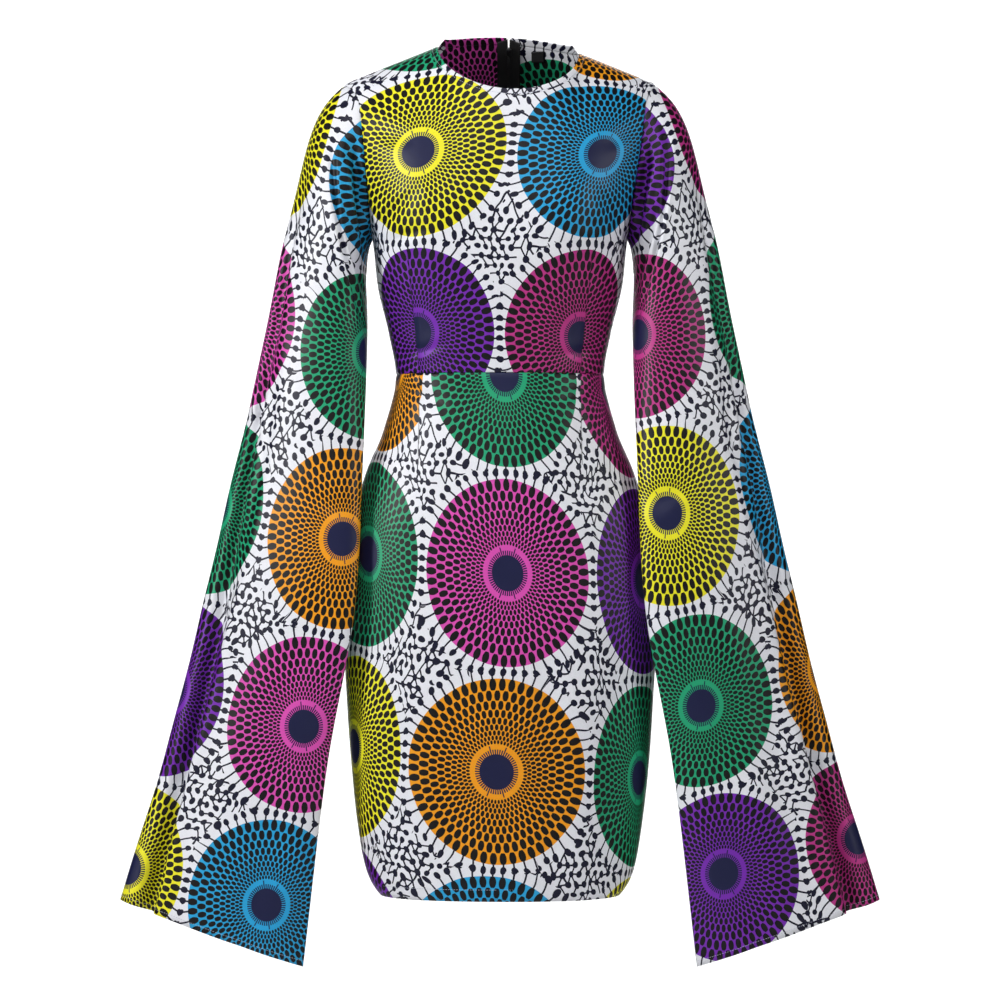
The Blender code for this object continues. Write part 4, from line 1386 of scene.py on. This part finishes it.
def lacqueredMetal():
    # zinc casting under black lacquer: a soft gloss, rubbed a little greyer where it is handled
    material, tree, shader = newMaterial("black lacquered zinc")
    where = addNode(tree, "TexCoord").outputs["Object"]
    rubbed = addNode(tree, "TexNoise", {"Vector": where, "Scale": 380.0, "Detail": 4.0})
    rubbedThrough = addNode(tree, "MapRange", {"Value": rubbed, "From Min": 0.52, "From Max": 0.7})
    colours = {0: rubbedThrough, 6: linear("#17171A"), 7: linear("#34343A")}
    base = addNode(tree, "Mix", colours, data_type="RGBA")
    tree.links.new(base.outputs[2], shader.inputs["Base Color"])
    rough = addNode(tree, "MapRange", {"Value": rubbed, "To Min": 0.24, "To Max": 0.42})
    tree.links.new(rough.outputs[0], shader.inputs["Roughness"])
    bump = addNode(tree, "Bump", {"Strength": 0.12, "Distance": 0.0002, "Height": rubbed})
    tree.links.new(bump.outputs[0], shader.inputs["Normal"])
    shader.inputs["Metallic"].default_value = 0.35
    shader.inputs["Coat Weight"].default_value = 0.5
    shader.inputs["Coat Roughness"].default_value = 0.15
    return material


def insideBack(x, z, inset):
    return onBody(x, z, "back", np.full(np.shape(x), -float(inset)))


def makeTape(side):
    # a strip from the neck's folded-out end down to below the coil
    way = 1 if side == "left" else -1
    shares = np.linspace(0, 1, 9)
    topRows, lowerRows = 13, 150
    close = np.linspace(0, zipForm["topLong"], topRows)[:-1]
    heights = np.concatenate([close, np.linspace(zipForm["topLong"], zipForm["long"], lowerRows)])
    apart, length = zipForm["topParts"]
    parted = apart * np.clip(1 - heights / length, 0, 1)[:, None]
    inner = zipForm["tapeInner"] + parted
    x = inner + (zipForm["tapeOuter"] - inner) * shares
    top = zipForm["topInner"] + (zipForm["topOuter"] - zipForm["topInner"]) * shares
    down = (heights / heights[-1])[:, None]
    z = top * (1 - down) + zipForm["bottom"] * down
    grid = insideBack(x, z, zipForm["inside"] + 0.1)
    # the end leans in and outwards, as a folded tape does
    aside, inwards, length = zipForm["topFold"]
    fold = np.clip(1 - heights / length, 0, 1)[:, None] ** 2
    grid = grid + fold[..., None] * np.stack([aside + 0 * x, inwards * shares + 0 * x, 0 * x], axis=-1)
    grid = worn(grid * [way, 1, 1])
    marks = np.stack([np.broadcast_to(shares, x.shape), np.broadcast_to(down, x.shape)], axis=-1)
    part = {"grid": grid, "print": marks, "dart": marks * 0, "hem": np.zeros(x.shape), "flip": way < 0}
    piece = makeCloth("zip_tape_" + side + "_woven", [part], tapeFinish)
    piece.modifiers["cloth"].thickness = zipForm["wall"] * mm * cloth["hem"] / cloth["plain"]
    finish(piece, "zip_tape", "zip_tape_" + side)


def makeCoil():
    # two rows of turns that mesh, half a step apart
    z = np.linspace(zipForm["coilTop"], zipForm["coilBottom"], 260)
    lines = []
    for way in (1, -1):
        line = insideBack(np.full(z.shape, 0.75), z, zipForm["inside"] + 1.9) * [way, 1, 1]
        lines.append(worn(line)[(1 if way > 0 else 0) :])
    lean = (0, 0, math.radians(zipForm["turnLean"]))
    piece = alongLines("zip_coil_turns", lines, zipForm["turnStep"], zipForm["turnSize"], lean, coilFinish)
    finish(piece, "zip_coil", "zip_coil")


def makeTag():
    # a bare woven label, folded over at the top
    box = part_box("size_tag")
    low, high = np.array(box[0]) / mm, np.array(box[1]) / mm
    across = np.linspace(low[0], high[0], 12)
    shares = np.linspace(0, 1, 10)
    heights = high[2] - (high[2] - low[2]) * shares
    x, z = np.meshgrid(across, heights)
    centre = x - bodyForm["shift"]
    grid = insideBack(centre, z + 1.4, zipForm["inside"] + 0.2)
    grid[..., 0] = x
    grid[..., 2] = z
    middle = 0.3 * np.sin(np.linspace(0, math.pi, 12)) * np.sin(math.pi * shares)[:, None]
    grid[..., 1] -= middle
    marks = np.stack(np.broadcast_arrays((x - low[0]) / 15, shares[:, None] + 0 * x), axis=-1)
    foldedOver = (shares < 0.2)[:, None] + 0.0 * x
    part = {"grid": grid, "print": marks, "dart": marks * 0, "hem": foldedOver, "flip": False}
    piece = makeCloth("woven_tag", [part], tagFinish)
    finish(piece, "woven_tag", "size_tag")


tapeFinish = darkWoven("woven polyester zip tape, black", "#101013", 0.9, False)
tagFinish = darkWoven("damask woven polyester label, black", "#17171B", 0.5, True)
coilFinish = darkWoven("nylon monofilament coil, black", "#141417", 0.6, True)
makeTape("left")
makeTape("right")
makeCoil()
makeTag()
metal = lacqueredMetal()
for name in ("zip_slider", "zip_pull_tab"):
    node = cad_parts[name]
    node.data.materials.clear()
    node.data.materials.append(metal)
makeStitches(cuffLines)
print("trimmings ready")

stage = {
    "floor": -1.75,
    "radius": 7.0,
    "bend": 1.6,
    "top": 4.5,
    "sides": 96,
    "bendSteps": 12,
    "colour": "#F4F4F4",
}


def makeStage():
    # a round floor that sweeps up into a wall
    profile = [(0.02, 0.0), (2.0, 0.0), (stage["radius"] - stage["bend"], 0.0)]
    sides, steps = stage["sides"], stage["bendSteps"]
    for k in range(1, steps + 1):
        turn = math.pi / 2 * k / steps
        out = stage["radius"] - stage["bend"] * (1 - math.sin(turn))
        profile.append((out, stage["bend"] * (1 - math.cos(turn))))
    profile.append((stage["radius"], stage["top"]))
    around = [2 * math.pi * k / sides for k in range(sides)]
    points = [(r * math.cos(a), r * math.sin(a), stage["floor"] + z) for r, z in profile for a in around]
    faces = [tuple(range(sides))]
    for k in range(len(profile) - 1):
        for j in range(sides):
            n = (j + 1) % sides
            faces.append((k * sides + j, k * sides + n, (k + 1) * sides + n, (k + 1) * sides + j))
    mesh = bpy.data.meshes.new("backdrop")
    mesh.from_pydata(points, [], faces)
    mesh.shade_smooth()
    material, _, shader = newMaterial("matt painted sweep")
    shader.inputs["Base Color"].default_value = linear(stage["colour"])
    shader.inputs["Roughness"].default_value = 0.9
    newObject("backdrop", mesh, material)


def addLight(name, place, towards, size, power):
    # an area light; size is its width and height
    light = bpy.data.lights.new(name, "AREA")
    light.shape = "RECTANGLE"
    light.size, light.size_y = size
    light.energy = power
    lamp = bpy.data.objects.new(name, light)
    bpy.context.scene.collection.objects.link(lamp)
    lamp.location = place
    lamp.visible_camera = False
    lamp.rotation_euler = (Vector(towards) - Vector(place)).to_track_quat("-Z", "Y").to_euler()


def addFlag(name, x, front, back, bottom, top):
    # a black panel beside the dress, out of the camera's sight, that keeps the light off its sides
    corners = [(x, front, bottom), (x, back, bottom), (x, back, top), (x, front, top)]
    mesh = bpy.data.meshes.new(name)
    mesh.from_pydata(corners, [], [(0, 1, 2, 3)])
    flag = newObject(name, mesh, blackCloth)
    flag.visible_camera = False


makeStage()
blackCloth, _, shader = newMaterial("black flag cloth")
shader.inputs["Base Color"].default_value = linear("#050505")
shader.inputs["Roughness"].default_value = 0.95
addFlag("flag left", -1.0, -0.25, 2.0, -1.7, 0.9)
addFlag("flag right", 1.0, -0.25, 2.0, -1.7, 0.9)
# each light's place, what it points at, its width and height, and its watts
lights = {
    "wall left": ((-2.4, 3.0, 1.2), (-0.3, 7.0, -0.5), (1.2, 2.0), 140),
    "wall right": ((2.4, 3.0, 1.2), (0.3, 7.0, -0.5), (1.2, 2.0), 140),
    "side left": ((-2.7, -1.5, 0.5), (0, 0, -0.5), (0.5, 1.2), 60),
    "side right": ((2.7, -1.5, 0.3), (0, 0, -0.5), (0.5, 1.2), 24),
    "top": ((-0.2, -1.1, 1.9), (0, -0.05, -0.1), (0.8, 0.4), 20),
    "front": ((-0.3, -3.4, 1.6), (0, 0, -0.2), (0.5, 0.4), 22),
    "back": ((0.2, 3.0, 1.4), (0, 0, -0.5), (1.6, 1.0), 30),
}
for name, settings in lights.items():
    addLight(name, *settings)
world = bpy.data.worlds.new("studio")
bpy.context.scene.world = world
world.use_nodes = True
world.node_tree.nodes["Background"].inputs["Color"].default_value = (1, 1, 1, 1)
world.node_tree.nodes["Background"].inputs["Strength"].default_value = 0.02
bpy.context.scene.view_settings.view_transform = "Standard"

camera = bpy.data.objects.new("camera", bpy.data.cameras.new("camera"))
bpy.context.scene.collection.objects.link(camera)
camera.data.lens = 135
camera.data.sensor_width = 36
camera.data.clip_end = 60
camera.location = (0, -4.5, -0.54)
camera.rotation_euler = (math.pi / 2, 0, 0)
bpy.context.scene.camera = camera
print("stage ready")
